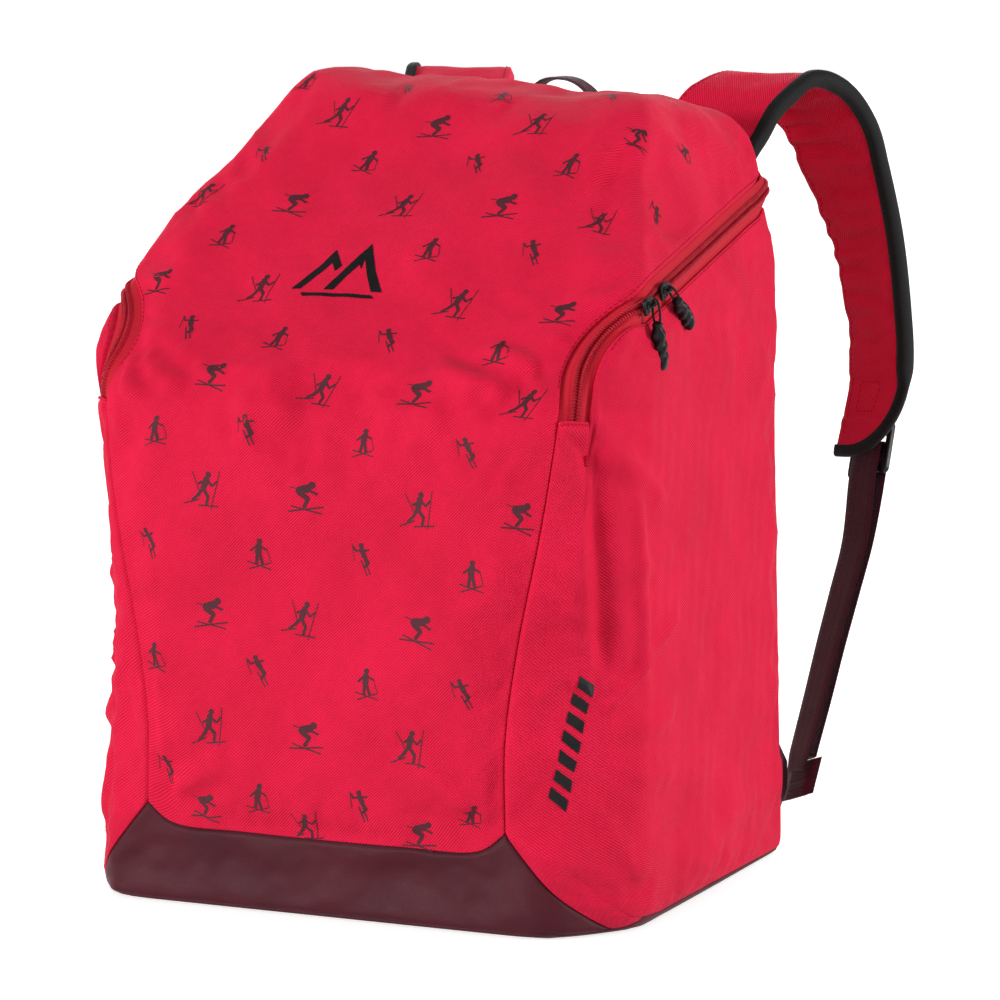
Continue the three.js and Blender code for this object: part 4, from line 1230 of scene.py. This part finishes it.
def swept(name, path, wide_way, profile, finish):
    """A closed cross-section, given as (across, out) rows, carried along a path."""
    run = unit(np.gradient(path, axis=0))
    wide = square_to(run, wide_way)
    out = np.cross(run, wide)
    profile = np.asarray(profile, float)
    if profile.ndim == 2:
        profile = np.broadcast_to(profile, (len(path),) + profile.shape)
    points = (path[:, None] + wide[:, None] * profile[..., :1] + out[:, None] * profile[..., 1:])
    faces = tube_faces(len(path), profile.shape[1])
    uv = face_uv(profile[..., 0], run_length(path)[:, None])
    return piece(name, points.reshape(-1, 3), faces, finish, uv=uv.reshape(-1, 2))


def band_profile(width, thick, count=9):
    """Flat band with round edges and slightly raised selvages."""
    x = np.linspace(-1, 1, count)
    face = thick / 2 * (0.86 + 0.2 * np.exp(-((np.abs(x) - 0.86) / 0.08) ** 2))
    face = face * np.sqrt(np.clip(1 - np.abs(x) ** 40, 0.08, 1))
    top = np.stack([x * width / 2, face], 1)
    bottom = np.stack([x[::-1] * width / 2, -face[::-1]], 1)
    edge = np.array([[width / 2 + thick * 0.28, 0]])
    return np.vstack([top, edge, bottom, -edge])


def plate(name, outlines, thickness, bevel, finish, origin, x_way, y_way):
    """Moulded plate with round edges from closed outlines in its own plane, the first outermost."""
    curve = bpy.data.curves.new(name, "CURVE")
    curve.dimensions = "2D"
    curve.fill_mode = "BOTH"
    curve.extrude = (thickness / 2 - bevel) * MM
    curve.bevel_depth = bevel * MM
    curve.bevel_resolution = 3
    curve.offset = -bevel * MM
    for outline in outlines:
        spline = curve.splines.new("POLY")
        spline.points.add(len(outline) - 1)
        spline.use_cyclic_u = True
        for point, (x, y) in zip(spline.points, outline):
            point.co = (x * MM, y * MM, 0, 1)
    obj = linked(name, curve)
    mesh = bpy.data.meshes.new_from_object(obj.evaluated_get(
        bpy.context.evaluated_depsgraph_get()))
    bpy.data.objects.remove(obj)
    bpy.data.curves.remove(curve)
    x = unit(np.asarray(x_way, float))
    z = unit(np.cross(x, y_way))
    y = np.cross(z, x)
    points = np.array([v.co for v in mesh.vertices]) / MM
    faces = [list(f.vertices) for f in mesh.polygons]
    bpy.data.meshes.remove(mesh)
    placed = np.asarray(origin) + points @ np.stack([x, y, z])
    made = piece(name, placed, faces, finish, uv=points[:, :2])
    weld(made, 0.002)
    return made


def round_corners(width, height, radius, steps=6):
    """Outline of a rectangle with round corners."""
    points = []
    for quarter, (sx, sy) in enumerate([(1, 1), (-1, 1), (-1, -1), (1, -1)]):
        for k in range(steps + 1):
            turn = (quarter + k / steps) * math.pi / 2
            points.append((sx * (width / 2 - radius) + radius * math.cos(turn),
                           sy * (height / 2 - radius) + radius * math.sin(turn)))
    return points


# ---------------------------------------------------------------- sliders and pulls
RAIL = ZIP_HALF[len(ZIP_RISE) - 1:CORNER]
ZIP_RUN = unit(RAIL[-1] - RAIL[0])
WALL_OUT = UPRIGHT[2][0]
ZIP_UP = unit(np.cross(WALL_OUT, ZIP_RUN))
RAIL_BOW = max((RAIL - RAIL[0]) @ WALL_OUT)
LOWER_SLIDER, UPPER_SLIDER = -88, -60
SHORT = {"lower": "low", "upper": "high"}    # how the bodies of sliders and pulls are named
SLIDER_LIFT, BRIDGE = 1.3, 4.4
PULL_CORD, PULL_LOOP, CORD_R, LOOP_BACK = 16, 4.2, 0.7, 3.5
GRIP_LONG, GRIP_R = 26, 4.4
SLIDER_THICK, PULL_PLAY = 2.2, 0.6    # the cord hangs a little inside the bridge
GRIP_OVER = 2.8                       # how much longer the grip is than its own lobes
UPPER_PULL_LEAN = 0.7


def on_zip(y):
    """Point on the outside of the zip's straight stretch, from how far back it is."""
    t = (y - RAIL[0][1]) / (RAIL[-1][1] - RAIL[0][1])
    return RAIL[0] + (RAIL[-1] - RAIL[0]) * t + WALL_OUT * RAIL_BOW


def joined(name, parts):
    """One object from several."""
    base = parts[0]
    with bpy.context.temp_override(active_object=base, selected_editable_objects=parts):
        bpy.ops.object.join()
    base.name = name
    return base


def slider(which, y):
    """Coil slider: waisted top plate, raised nose and a bridge for the pull."""
    origin = on_zip(y) + WALL_OUT * SLIDER_LIFT
    waist = [(-7, 3.2), (-6, 4.6), (-3, 4.9), (0, 4.3), (3.4, 4.0), (6, 3.4), (7, 2.2)]
    waist += [(x, -half) for x, half in reversed(waist)]
    foot = plate("foot", [waist], 2.0, 0.6, HARDWARE, origin + WALL_OUT * 1.1, ZIP_RUN, ZIP_UP)
    ridge = plate("ridge", [round_corners(11, 3.4, 1.6)], 1.6, 0.6, HARDWARE,
                  origin + WALL_OUT * 2.3, ZIP_RUN, ZIP_UP)
    arch = Line([(-4.3, 0.8), (-4.2, 3.4), (-3.0, 4.9), (0, 5.3), (3.0, 4.9), (4.2, 3.4),
                 (4.3, 0.8)] @ np.eye(2, 3)).even(24)
    path = origin + arch[:, :1] * ZIP_RUN + arch[:, 1:2] * WALL_OUT
    bridge = tube("bridge", path, 0.75, 10, HARDWARE)
    obj = joined("slider_" + which + "_moulded", [foot, ridge, bridge])
    return installed(obj, "slider_" + SHORT[which], "hardware", "slider_" + which)


def pull(which, y, hang):
    """Cord loop through the bridge, and a grip over its end."""
    body = "pull_" + SHORT[which]
    pivot = on_zip(y) + WALL_OUT * (SLIDER_LIFT + SLIDER_THICK + BRIDGE - 2 * PULL_PLAY)
    across = unit(np.cross(np.cross(hang, WALL_OUT), hang))
    turn = np.linspace(0, 2 * math.pi, 61)[:-1, None]
    path = (pivot + (PULL_CORD * (1 - np.cos(turn)) / 2 - LOOP_BACK) * hang
            + PULL_LOOP * np.sin(turn) / 2 * across)
    cord = tube("pull_cord_" + which + "_braid", path, CORD_R, 10, CORD, closed=True)
    installed(cord, body, "cord", "pull_cord_" + which)
    start = pivot + hang * (PULL_CORD - LOOP_BACK - 3.2)
    grip = twisted_grip("pull_grip_" + which + "_moulded", start, hang, across)
    return installed(grip, body, "hardware", "pull_grip_" + which)


def twisted_grip(name, start, hang, across):
    """Moulded grip of three lobes that twist below a plain collar with a ring round it."""
    rings, sides = 70, 28
    angle = (np.arange(sides) * 2 * math.pi / sides)[None]
    t = np.linspace(0, 1, rings)[:, None]
    ends = np.sqrt(np.clip(1 - np.abs(2 * t - 1) ** 14, 0.0, 1)) * 0.96 + 0.04
    collar = 0.72 + 0.28 * smooth((t - 0.12) / 0.14)
    ring = 0.13 * np.exp(-((t - 0.06) / 0.03) ** 2)
    twist = 2 * math.pi * 0.85 * smooth((t - 0.2) / 0.8)
    lobed = 0.17 * smooth((t - 0.15) / 0.15) * smooth((1 - t) / 0.1)
    lobes = 1 + lobed * np.cos(3 * (angle - twist))
    radius = (GRIP_R * 0.9 * ends * (collar + ring) * lobes)[..., None]
    round_way = across * np.cos(angle)[..., None] + np.cross(hang, across) * np.sin(angle)[..., None]
    points = start + hang * t[..., None] * (GRIP_LONG + GRIP_OVER) + radius * round_way
    return piece(name, points.reshape(-1, 3), tube_faces(rings, sides), RUBBER)


def zip_set():
    for owner, side in (("body", -1), ("lid", 1)):
        zip_tape(owner, side)
        zip_coil(owner, side)
    aside = -ZIP_UP * math.cos(UPPER_PULL_LEAN) + ZIP_RUN * math.sin(UPPER_PULL_LEAN)
    for which, y, hang in (("lower", LOWER_SLIDER, -ZIP_UP), ("upper", UPPER_SLIDER, aside)):
        slider(which, y)
        pull(which, y, hang)


POCKET_DROP, POCKET_OVER = 24, 2.2    # how tall the pocket is, and how far over the zip's end


def zip_pocket(hand, turn, surface):
    """Patch of the side fabric drawn over the end of the zip, open along its folded top edge."""
    u, v = np.linspace(0, 1, 30)[:, None], np.linspace(0, 1, 26)[None]
    rise = POCKET_OVER - POCKET_DROP * (1 - v)
    across = BODY_EDGE[0] - LID_EDGE[0]
    guides = skin(LID_EDGE[0] + rise[..., None] * [0, 0, 1] + across * (0.03 + 0.95 * u[..., None]))
    hits, facing = surface.above(guides * turn, 0.0)
    hits, facing = hits.reshape(guides.shape), facing.reshape(guides.shape)
    off = np.linalg.norm(hits - guides * turn, axis=-1, keepdims=True) > 3.5
    out = unit(guides * turn - CORE)
    hits, facing = np.where(off, guides * turn, hits), unit(np.where(off, out, facing))
    sides = np.sqrt(np.clip(1 - np.abs(2 * u - 1) ** 8, 0, 1))
    lift = 2.9 * smooth(v) * sides - 1.3
    lip = 0.8 * np.clip(1 - (1 - v) * POCKET_DROP / 1.4, 0, 1) ** 2
    face = hits + facing * (lift - lip + 0.5)[..., None]
    back = hits + facing * (lift - 0.45)[..., None]
    uv = face_uv(u * np.linalg.norm(across), guides[..., 2])
    obj = sewn_panel("zip_pocket_" + hand + "_cloth", face, back, uv, SHELL, SHELL)
    facing_out(obj)
    return installed(obj, "bag_body", "shell_fabric", "zipper_pocket_" + hand)


# ---------------------------------------------------------------- shoulder straps
STRAP_LINE = Line([(75, 166, 408), (83, 178, 430), (94, 194, 453), (106, 220, 464),
                   (117, 244, 455), (127, 262, 434), (134, 271, 408), (146, 278, 363),
                   (153.5, 279, 320), (157, 275.5, 283), (153.5, 260.5, 232)])
PAD_HALF, PAD_END_HALF, PAD_THICK = 34, 25, 9
PAD_SWEEP, PAD_TIP = 46, -15      # the outer side sweeps in to a tip on the inner side
TAIL_THICK, ROOT_LONG = 3.4, 0.075
BOX_NEAR, BOX_FAR, BOX_LOW, BOX_HIGH = 0.872, 0.925, -12, 5    # stitched box on the tail
TURN_OUT = math.radians(24)


def in_strap(t, side, face):
    """Points beside the strap's middle line, sideways across it and out of its face."""
    t, side, face = (np.asarray(a, float) for a in np.broadcast_arrays(t, side, face))
    at = np.clip(t, 0, 1)
    run = STRAP_LINE.run(at)
    turn = TURN_OUT * smooth((t - 0.25) / 0.5)
    wide = np.stack([np.cos(turn), -np.sin(turn), np.zeros_like(turn)], -1)
    wide = square_to(run, wide)
    out = np.cross(run, wide)
    aside = wide * side[..., None] + out * face[..., None]
    level = 1 - smooth(t / 0.15)
    aside = aside - run * (level * aside[..., 2] / run[..., 2])[..., None]
    past = ((t - at) * STRAP_LINE.length)[..., None]
    return STRAP_LINE.at(at) + aside + run * past


def pad_taper(t):
    """Half width of the pad, before its outer side sweeps in."""
    return PAD_HALF + (PAD_END_HALF - PAD_HALF) * smooth((t - 0.2) / 0.7)


def pad_outer(t):
    """Outer side of the pad, which sweeps round in a quarter of an ellipse."""
    to_end = np.clip((1 - t) * STRAP_LINE.length / PAD_SWEEP, 0, 1)
    return PAD_TIP + (pad_taper(t) - PAD_TIP) * np.sqrt(1 - (1 - to_end) ** 2)


def pad_thick(t):
    """Foam thickness, which stops short of the flat tail."""
    return TAIL_THICK + (PAD_THICK - TAIL_THICK) * smooth((0.885 - t) / 0.04)


TAIL_FOLDS = [(0.945, 2.2, 0.9), (0.865, 2.4, -1.2), (0.933, 1.6, -0.6)]    # place, width, height


def pad_faces(t, side):
    """Height of the pad's inner and outer face above its middle, with its wrinkles and seams."""
    t, side = np.broadcast_arrays(np.asarray(t, float), np.asarray(side, float))
    low, high = -pad_taper(np.clip(t, 0, 1)), pad_outer(np.clip(t, 0, 1))
    x = np.clip((2 * side - low - high) / np.maximum(high - low, 1), -1, 1)
    edge = np.sqrt(np.clip(1 - np.abs(x) ** 9, 0.0, 1))
    crown = edge * (0.9 + 0.16 * (1 - x ** 2)) * pad_thick(t) / 2
    grid = np.stack([t * STRAP_LINE.length, 0 * t, side], -1)
    bend = smooth((t - 0.2) / 0.1) * smooth((0.9 - t) / 0.12)
    folds = ripple(grid * [1, 1, 0.14], 17, 31) + 0.8 * ripple(grid * [1, 1, 0.25], 9, 37)
    wrinkle = bend * np.clip(2.0 * folds, -3.0, 1.3)
    tail_fold = sum(height * np.exp(-((t - place) * STRAP_LINE.length / width) ** 2)
                    for place, width, height in TAIL_FOLDS)
    seam = 0.5 * np.exp(-((np.abs(x) - 0.8) / 0.035) ** 2) * smooth((0.87 - t) / 0.02)
    inner = crown + wrinkle * edge - seam + tail_fold * edge
    outer = -crown + 0.35 * ripple(grid, 24, 41) * edge + seam
    return inner, outer


def strap_pad(hand, turn):
    """Foam strap from its sewn root, creased across its inner face where it bends."""
    tail = 1 - 0.18 * np.linspace(1, 0, 60)[1:] ** 1.6
    t = np.concatenate([np.linspace(-ROOT_LONG, 0.82, 190), tail])
    x = np.linspace(-1, 1, 34)
    x = np.sign(x) * np.abs(x) ** 0.85
    low, high = 1.2 - pad_taper(np.clip(t, 0, 1)), pad_outer(np.clip(t, 0, 1)) - 1.2
    side = low[:, None] + (high - low)[:, None] * (x[None] + 1) / 2
    rings = []
    for face, order in zip(pad_faces(t[:, None], side), (slice(None), slice(None, None, -1))):
        rings.append(in_strap(t[:, None], side, face)[:, order])
    ring = np.concatenate([rings[0], rings[1][:, 1:-1]], axis=1)
    blend_root(ring, t)
    around = np.concatenate([side, side[:, -2:0:-1]], axis=1)
    uv = face_uv(around, (t * STRAP_LINE.length)[:, None]).reshape(-1, 2)
    faces = tube_faces(len(t), ring.shape[1])
    obj = piece("strap_cloth_" + hand, ring.reshape(-1, 3) * turn, faces, STRAP_CLOTH_PAINTED_LIGHT, uv=uv)
    facing_out(obj)
    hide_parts("strap_pad_" + hand, "strap_root_" + hand)
    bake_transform(obj)
    return obj


def blend_root(ring, t):
    """Thin the root down to the yoke on the back panel, where it is sewn in."""
    for k in np.where(t < 0)[0]:
        share = t[k] / t[0]
        middle = np.array([75 - 7 * share, 166 - 8.6 * smooth(share), 408 - 30 * share])
        flat = ring[k] - ring[k].mean(0)
        flat[:, 1] *= 1 - 0.55 * share
        flat[:, 2] = 0
        ring[k] = middle + flat


def level_line(rows, samples):
    """Straight-sided line through (along, side) rows."""
    return Line(np.hstack([rows, np.zeros((len(rows), 1))]), False, samples)


def pad_outline():
    """The pad's outer edge and swept end as (distance along, side) rows, with their normals."""
    length = STRAP_LINE.length
    t = np.concatenate([np.linspace(0.0, 0.85, 120), 1 - 0.15 * np.linspace(1, 0, 70)[1:] ** 1.8])
    down = np.stack([t * length, pad_outer(t)], 1)
    end = np.stack([np.full(12, length), np.linspace(PAD_TIP, 0.5 - PAD_END_HALF, 12)], 1)[1:]
    path = level_line(np.vstack([down, end]), 4).even(280)[:, :2]
    for _ in range(5):
        path[1:-1] = (path[:-2] + 2 * path[1:-1] + path[2:]) / 4
    run = unit(np.gradient(path, axis=0))
    normal = np.stack([-run[:, 1], run[:, 0]], 1)
    return path, normal * np.sign(normal[:1, 1])


def strap_binding(hand, turn):
    """Black tape folded over the outer edge and round the swept end."""
    path, normal = pad_outline()
    length = STRAP_LINE.length
    thick = pad_thick(path[:, 0] / length) / 2
    fold = [(-4.6, 1.0), (-3.9, 1.14), (-2, 1.12), (0.4, 1.02), (2.0, 0.74), (2.8, 0.0)]
    outer = fold + [(a, -h) for a, h in reversed(fold[:-1])]
    inner = [(a - (0.9 if abs(h) < 0.9 else 0), 0.72 * h) for a, h in reversed(outer)]
    rows = []
    for a, h in outer + inner:
        along = path[:, 0] + normal[:, 0] * a
        rows.append(in_strap(along / length, path[:, 1] + normal[:, 1] * a, h * (thick + 0.55)))
    ring = np.stack(rows, 1)
    reach = np.arange(len(path))[:, None] * np.linalg.norm(path[1] - path[0])
    uv = face_uv(np.array([a for a, _ in outer + inner])[None], reach).reshape(-1, 2)
    faces = tube_faces(len(path), ring.shape[1])
    obj = piece("strap_binding_" + hand, ring.reshape(-1, 3) * turn, faces, BINDING, uv=uv)
    facing_out(obj)
    return installed(obj, "strap_" + hand, "binding", "strap_rim_" + hand)


def strap_stitches(hand, turn):
    """Row down the folded edge, and the box on the tail that holds the buckle tab."""
    length = STRAP_LINE.length
    t = np.linspace(0.02, 0.97, 200)
    edge = np.stack([t * length, 5 - pad_taper(t)], 1)
    near, far = BOX_NEAR * length, BOX_FAR * length
    box = np.array([(near, BOX_LOW), (near, BOX_HIGH), (far, BOX_HIGH - 3), (far, BOX_LOW - 1),
                    (near, BOX_LOW)], float)
    starts, ends, facing = [], [], []
    for path, face in ((edge, 1), (edge, -1), (box, 1)):
        line = level_line(path, 8)
        count = int(line.length / STRAP_PITCH)
        for shift, found in ((0.0, starts), (STRAP_SHARE, ends)):
            along, side, _ = line.at((np.arange(count) + shift) / count).T
            inner, outer = pad_faces(along / length, side)
            found.append(in_strap(along / length, side, (inner if face > 0 else outer) + face * 0.1))
        along, side, _ = line.at(np.arange(count) / count).T
        away = in_strap(along / length, side, face * 6.0) - in_strap(along / length, side, 0.0)
        facing.append(unit(away))
    starts, ends, facing = (np.vstack(found) * turn for found in (starts, ends, facing))
    obj = capsules("strap_stitches_" + hand, starts, ends, facing, STRAP_STITCH_R)
    return installed(obj, "strap_" + hand, None)


# ---------------------------------------------------------------- buckle and webbing
def turned_out(angle):
    """Sideways direction, turned towards the front of the bag."""
    return np.array([math.cos(angle), -math.sin(angle), 0])


LOCK_TOP = np.array([153, 281, 248])
LOCK_RUN = unit(np.array([2.0, -32, -67]))
LOCK_TURN, WEB_TURN = math.radians(30), math.radians(43)
LOCK_ACROSS = square_to(LOCK_RUN, turned_out(LOCK_TURN))
LOCK_OUT = unit(np.cross(LOCK_RUN, LOCK_ACROSS))
LOCK_WIDE, LOCK_LONG, LOCK_THICK, LOCK_BAR, LOCK_SLOT = 36, 34, 4, 4, 9
TAB_WIDE, TAB_THICK, TAB_SIDE, TAB_HOLD = 22, 1.3, -4, (0.83, 0.86, 0.885)
WEB_WIDE, WEB_THICK, WEB_LAY = 25, 1.6, 4.6
FOLD_LONG, FOLD_THICK = 24, 5
WEB_FOOT = np.array([150, 167, 46])
WEB_LINE = np.array([(155, 246, 180), (154, 228, 150), (153, 210, 121), (152, 190, 87),
                     (151, 177, 65), (150.6, 170.7, 54.2)])


def by_lock(down, out):
    """Point on the lock's middle line, down from its top and out of its face."""
    return LOCK_TOP + LOCK_RUN * down + LOCK_OUT * out


def ladder_lock(hand, turn):
    """Three-bar frame with ribbed grip at its lower end."""
    outlines = [round_corners(LOCK_WIDE, LOCK_LONG, 4)]
    for end in (0.5, -0.5):
        y = end * (LOCK_SLOT + LOCK_BAR)
        slot = round_corners(LOCK_WIDE - 2 * LOCK_BAR, LOCK_SLOT, 1.2, 3)
        outlines.append([(a, b + y) for a, b in slot])
    middle = LOCK_TOP + LOCK_RUN * LOCK_LONG / 2
    parts = [plate("frame_" + hand, outlines, LOCK_THICK, 1.1, HARDWARE, middle * turn,
                   LOCK_ACROSS * turn, -LOCK_RUN * turn)]
    for down in (29.6, 31.2, 32.8):
        ends = np.array([by_lock(down, 1.7) + LOCK_ACROSS * s for s in (-13, 13)])
        path = Line(ends * turn, False).even(8)
        parts.append(tube("rib_" + hand, path, 0.7, 8, HARDWARE))
    obj = joined("ladder_lock_" + hand + "_moulded", parts)
    return installed(obj, "strap_" + hand, "hardware", "ladder_lock_" + hand)


def band(name, line, wide_at, width, thick, steps, turn):
    """Webbing along a line; wide_at gives its width direction at shares of the way."""
    share = np.linspace(0, 1, steps)
    path = line.by_station(share)
    return swept(name, path * turn, wide_at(share) * turn, band_profile(width, thick), WEBBING)


def web_wide(share):
    """Width direction of the webbing a share of the way from its foot to the buckle."""
    up = smooth(share)[..., None]
    return turned_out(WEB_TURN) * (1 - up) + LOCK_ACROSS * up


def beside_web(offset):
    """The webbing's own line shifted square to its width."""
    i = np.arange(len(WEB_LINE))
    last = len(WEB_LINE) - 1
    run = WEB_LINE[np.minimum(i + 1, last)] - WEB_LINE[np.maximum(i - 1, 0)]
    return WEB_LINE + unit(np.cross(run, web_wide(1 - i / last))) * offset


def buckle_tab(hand, turn):
    """Tab laid on the outer face of the pad and folded round the top bar of the lock."""
    on_pad = in_strap(np.array(TAB_HOLD), TAB_SIDE, -PAD_THICK / 2 - TAB_THICK / 2 - 0.6)
    around = [(-7, 3.6), (0, 3.2), (5, 3), (7.6, 2), (8.3, 0), (7.6, -2), (5, -3), (0, -3),
              (-7, -2.4)]
    line = Line(np.vstack([on_pad, [by_lock(*p) for p in around]]))

    def wide(share):
        across = np.minimum(3 * share, 1)[:, None]
        return turned_out(TURN_OUT) * (1 - across) + LOCK_ACROSS * across

    obj = band("buckle_tab_" + hand + "_woven", line, wide, TAB_WIDE, TAB_THICK, 80, turn)
    return installed(obj, "strap_" + hand, "webbing", "buckle_tab_" + hand)


def buckle_webbing(hand, turn):
    """Webbing from its sewn foot up round the middle bar and down again to its end."""
    bend = [(36, 4), (30, 3.8), (22, 3.6), (17, 3.4), (14, 2.6), (13.4, 0), (14, -2.6),
            (17, -3.4), (22, -3.6), (30, -3.8), (36, -4.2)]
    tail = beside_web(-WEB_LAY)
    points = np.vstack([WEB_FOOT, beside_web(0.6)[::-1], [by_lock(*p) for p in bend], tail])
    obj = band("adjuster_webbing_" + hand + "_woven", Line(points),
               lambda share: web_wide(np.minimum(share, 1 - share) * 3), WEB_WIDE, WEB_THICK, 300,
               turn)
    installed(obj, "strap_" + hand, "webbing", "adjuster_webbing_" + hand)
    return webbing_end(hand, turn, tail)


def webbing_end(hand, turn, tail):
    """The webbing's end, folded over on itself and stitched through."""
    run = unit(tail[-1] - tail[-2])
    half = FOLD_LONG / 2
    x = np.linspace(-half, half, 60)
    rise = np.sqrt(np.clip(1 - (np.abs(x) / (half + 0.05)) ** 7, 0.02, 1))
    for seam in (-7.5, 2.0, 8.0):
        rise = rise - 0.16 * np.exp(-((x - seam) / 0.6) ** 2)
    flat = band_profile(2, 2)
    profile = np.stack([np.broadcast_to(flat[:, 0] * (WEB_WIDE + 1) / 2, (len(x), len(flat))),
                        flat[None, :, 1] * rise[:, None] * FOLD_THICK / 2], -1)
    path = tail[-1] + run * (half + 1) + x[:, None] * run
    wide = np.broadcast_to(web_wide(np.array(0.0)), path.shape)
    fold = swept("webbing_end_" + hand + "_sewn", path * turn, wide * turn, profile, WEBBING)
    return installed(fold, "strap_" + hand, "webbing", "webbing_end_" + hand)


def low_anchor(hand, turn):
    """Triangular tab in the back seam that the webbing is sewn to."""
    outline = [(0, -22), (13, -8.6), (13.6, 0), (13, 8.6), (0, 22)]
    tab = plate("strap_anchor_" + hand + "_sewn", [outline], 2.6, 0.7, WEBBING,
                np.array([144.3, BACK_Y + 1, 44]) * turn, (0, 1, 0), (0, 0, 1))
    return installed(tab, "bag_body", "webbing", "strap_anchor_" + hand)


# ---------------------------------------------------------------- back of the bag
def haul_loop():
    """Webbing handle behind the lid, leaning a little to one side as it stands."""
    half, foot, top, y, lean = 26, 405, 466, 161.5, -8
    arch = [(-half, foot), (-half, foot + 26), (-half + 4, top - 12), (-12, top - 2.5), (0, top),
            (12, top - 2.5), (half - 4, top - 12), (half, foot + 26), (half, foot)]
    line = Line([(x + lean * (z - foot) / (top - foot), y, z) for x, z in arch])
    obj = band("haul_loop_woven", line, lambda share: np.tile([0.0, 1, 0], (len(share), 1)), 18, 2,
               120, np.ones(3))
    return installed(obj, "haul", "webbing", "haul_loop")


def yoke():
    """Tarpaulin strip over the seam where both straps start."""
    obj = plate("strap_yoke_sewn", [round_corners(220, 30, 4)], 1.6, 0.6, TARP,
                (0, BACK_Y + 1.2, 389), (-1, 0, 0), (0, 0, 1))
    return installed(obj, "bag_body", "base_tarpaulin", "strap_yoke")


def puffed(name, width, height, depth, corner, origin, channels, seed):
    """Foam pad under spacer mesh: a crowned closed form held at its sewn edge and channels."""
    cols, rows = max(int(width / 2.6), 24), max(int(height / 2.6), 16)
    u, v = np.meshgrid(np.linspace(-1, 1, cols), np.linspace(-1, 1, rows), indexing="ij")
    x, y = u * width / 2, v * height / 2
    over = np.stack([np.abs(x) - width / 2 + corner, np.abs(y) - height / 2 + corner], -1)
    reach = np.linalg.norm(np.maximum(over, 0), axis=-1)
    pull_in = np.maximum(over, 0) * (1 - np.where(reach > corner, corner
                                                  / np.maximum(reach, 1e-6), 1))[..., None]
    x = x - np.sign(x) * pull_in[..., 0]
    y = y - np.sign(y) * pull_in[..., 1]
    away = np.maximum(corner - reach - np.minimum(over.max(-1), 0), 0)
    dome = np.sqrt(np.clip(1 - (1 - np.clip(away / 13, 0, 1)) ** 2, 0, 1))
    grooves = sum((np.exp(-((y - channel) / 2.6) ** 2) for channel in channels), 0 * y)
    soft = np.stack([x, y, 0 * x], -1)
    high = 0.86 * depth * dome * (1 + 0.05 * ripple(soft, 60, seed)) * (1 - 0.6 * grooves)
    face = np.stack([-x, high, y], -1) + origin
    base = np.stack([-x, 0 * high, y], -1) + origin
    face = face + settled(face, 0.8, 0.03, 1.6) * (dome * (1 - grooves))[..., None]
    obj = sewn_panel(name, face, base, face_uv(x, y), MESH, LINING)
    facing_out(obj)
    return obj


def back_pads():
    """Two padded columns beside the spine and a pad across the small of the back."""
    on_back = BACK_Y + 0.6
    for hand, turn in HANDS.items():
        pad = puffed("back_pad_" + hand + "_mesh", 84, 280, 12.5, 26,
                     np.array([58, on_back, 215]) * turn, (-76, -6, 64), 51)
        installed(pad, "bag_body", "mesh_pad", "back_pad_" + hand)
    pad = puffed("lumbar_pad_mesh", 200, 46, 11.5, 18, np.array([0, on_back, 44]), (), 57)
    installed(pad, "bag_body", "mesh_pad", "lumbar_pad")


def harness():
    for hand, turn in HANDS.items():
        strap_pad(hand, turn)
        strap_binding(hand, turn)
        strap_stitches(hand, turn)
        ladder_lock(hand, turn)
        buckle_tab(hand, turn)
        buckle_webbing(hand, turn)
        low_anchor(hand, turn)


# ---------------------------------------------------------------- scene
STITCH_IN = 1.8      # from the panel's edge to its topstitching


def decorate(front, sides):
    """Prints, pockets and topstitching over the finished shell."""
    cloth = Surface(front)
    print_rows(cloth)
    emblem(cloth)
    side_marks(Surface(sides["right"]))
    stitch_lid(cloth)
    for hand, turn in HANDS.items():
        side_cloth = Surface(sides[hand])
        zip_pocket(hand, turn, side_cloth)
        path = zip_line(-EDGE - STITCH_IN, 0, -1)[20:(CORNER - 1) * FINER] * turn
        seam_stitches("body_edge_stitches_" + hand, side_cloth, path, "bag_body")


def stitch_lid(cloth):
    """Topstitching along the lid's edge, on both sides, and across its rear."""
    path = zip_line(EDGE + STITCH_IN, 0, 1)
    seam_stitches("lid_edge_stitches", cloth, path[8:-8], "lid")


def main():
    make_camera()
    make_studio()
    front = front_and_lid()
    sides = {hand: side_panel(hand, turn) for hand, turn in HANDS.items()}
    base_patch()
    back_panel()
    base_panel()
    zip_set()
    harness()
    haul_loop()
    yoke()
    back_pads()
    decorate(front, sides)
    for name in ("base_board", "back_board"):
        NODES[name].data.materials.clear()
        NODES[name].data.materials.append(BOARD)


main()
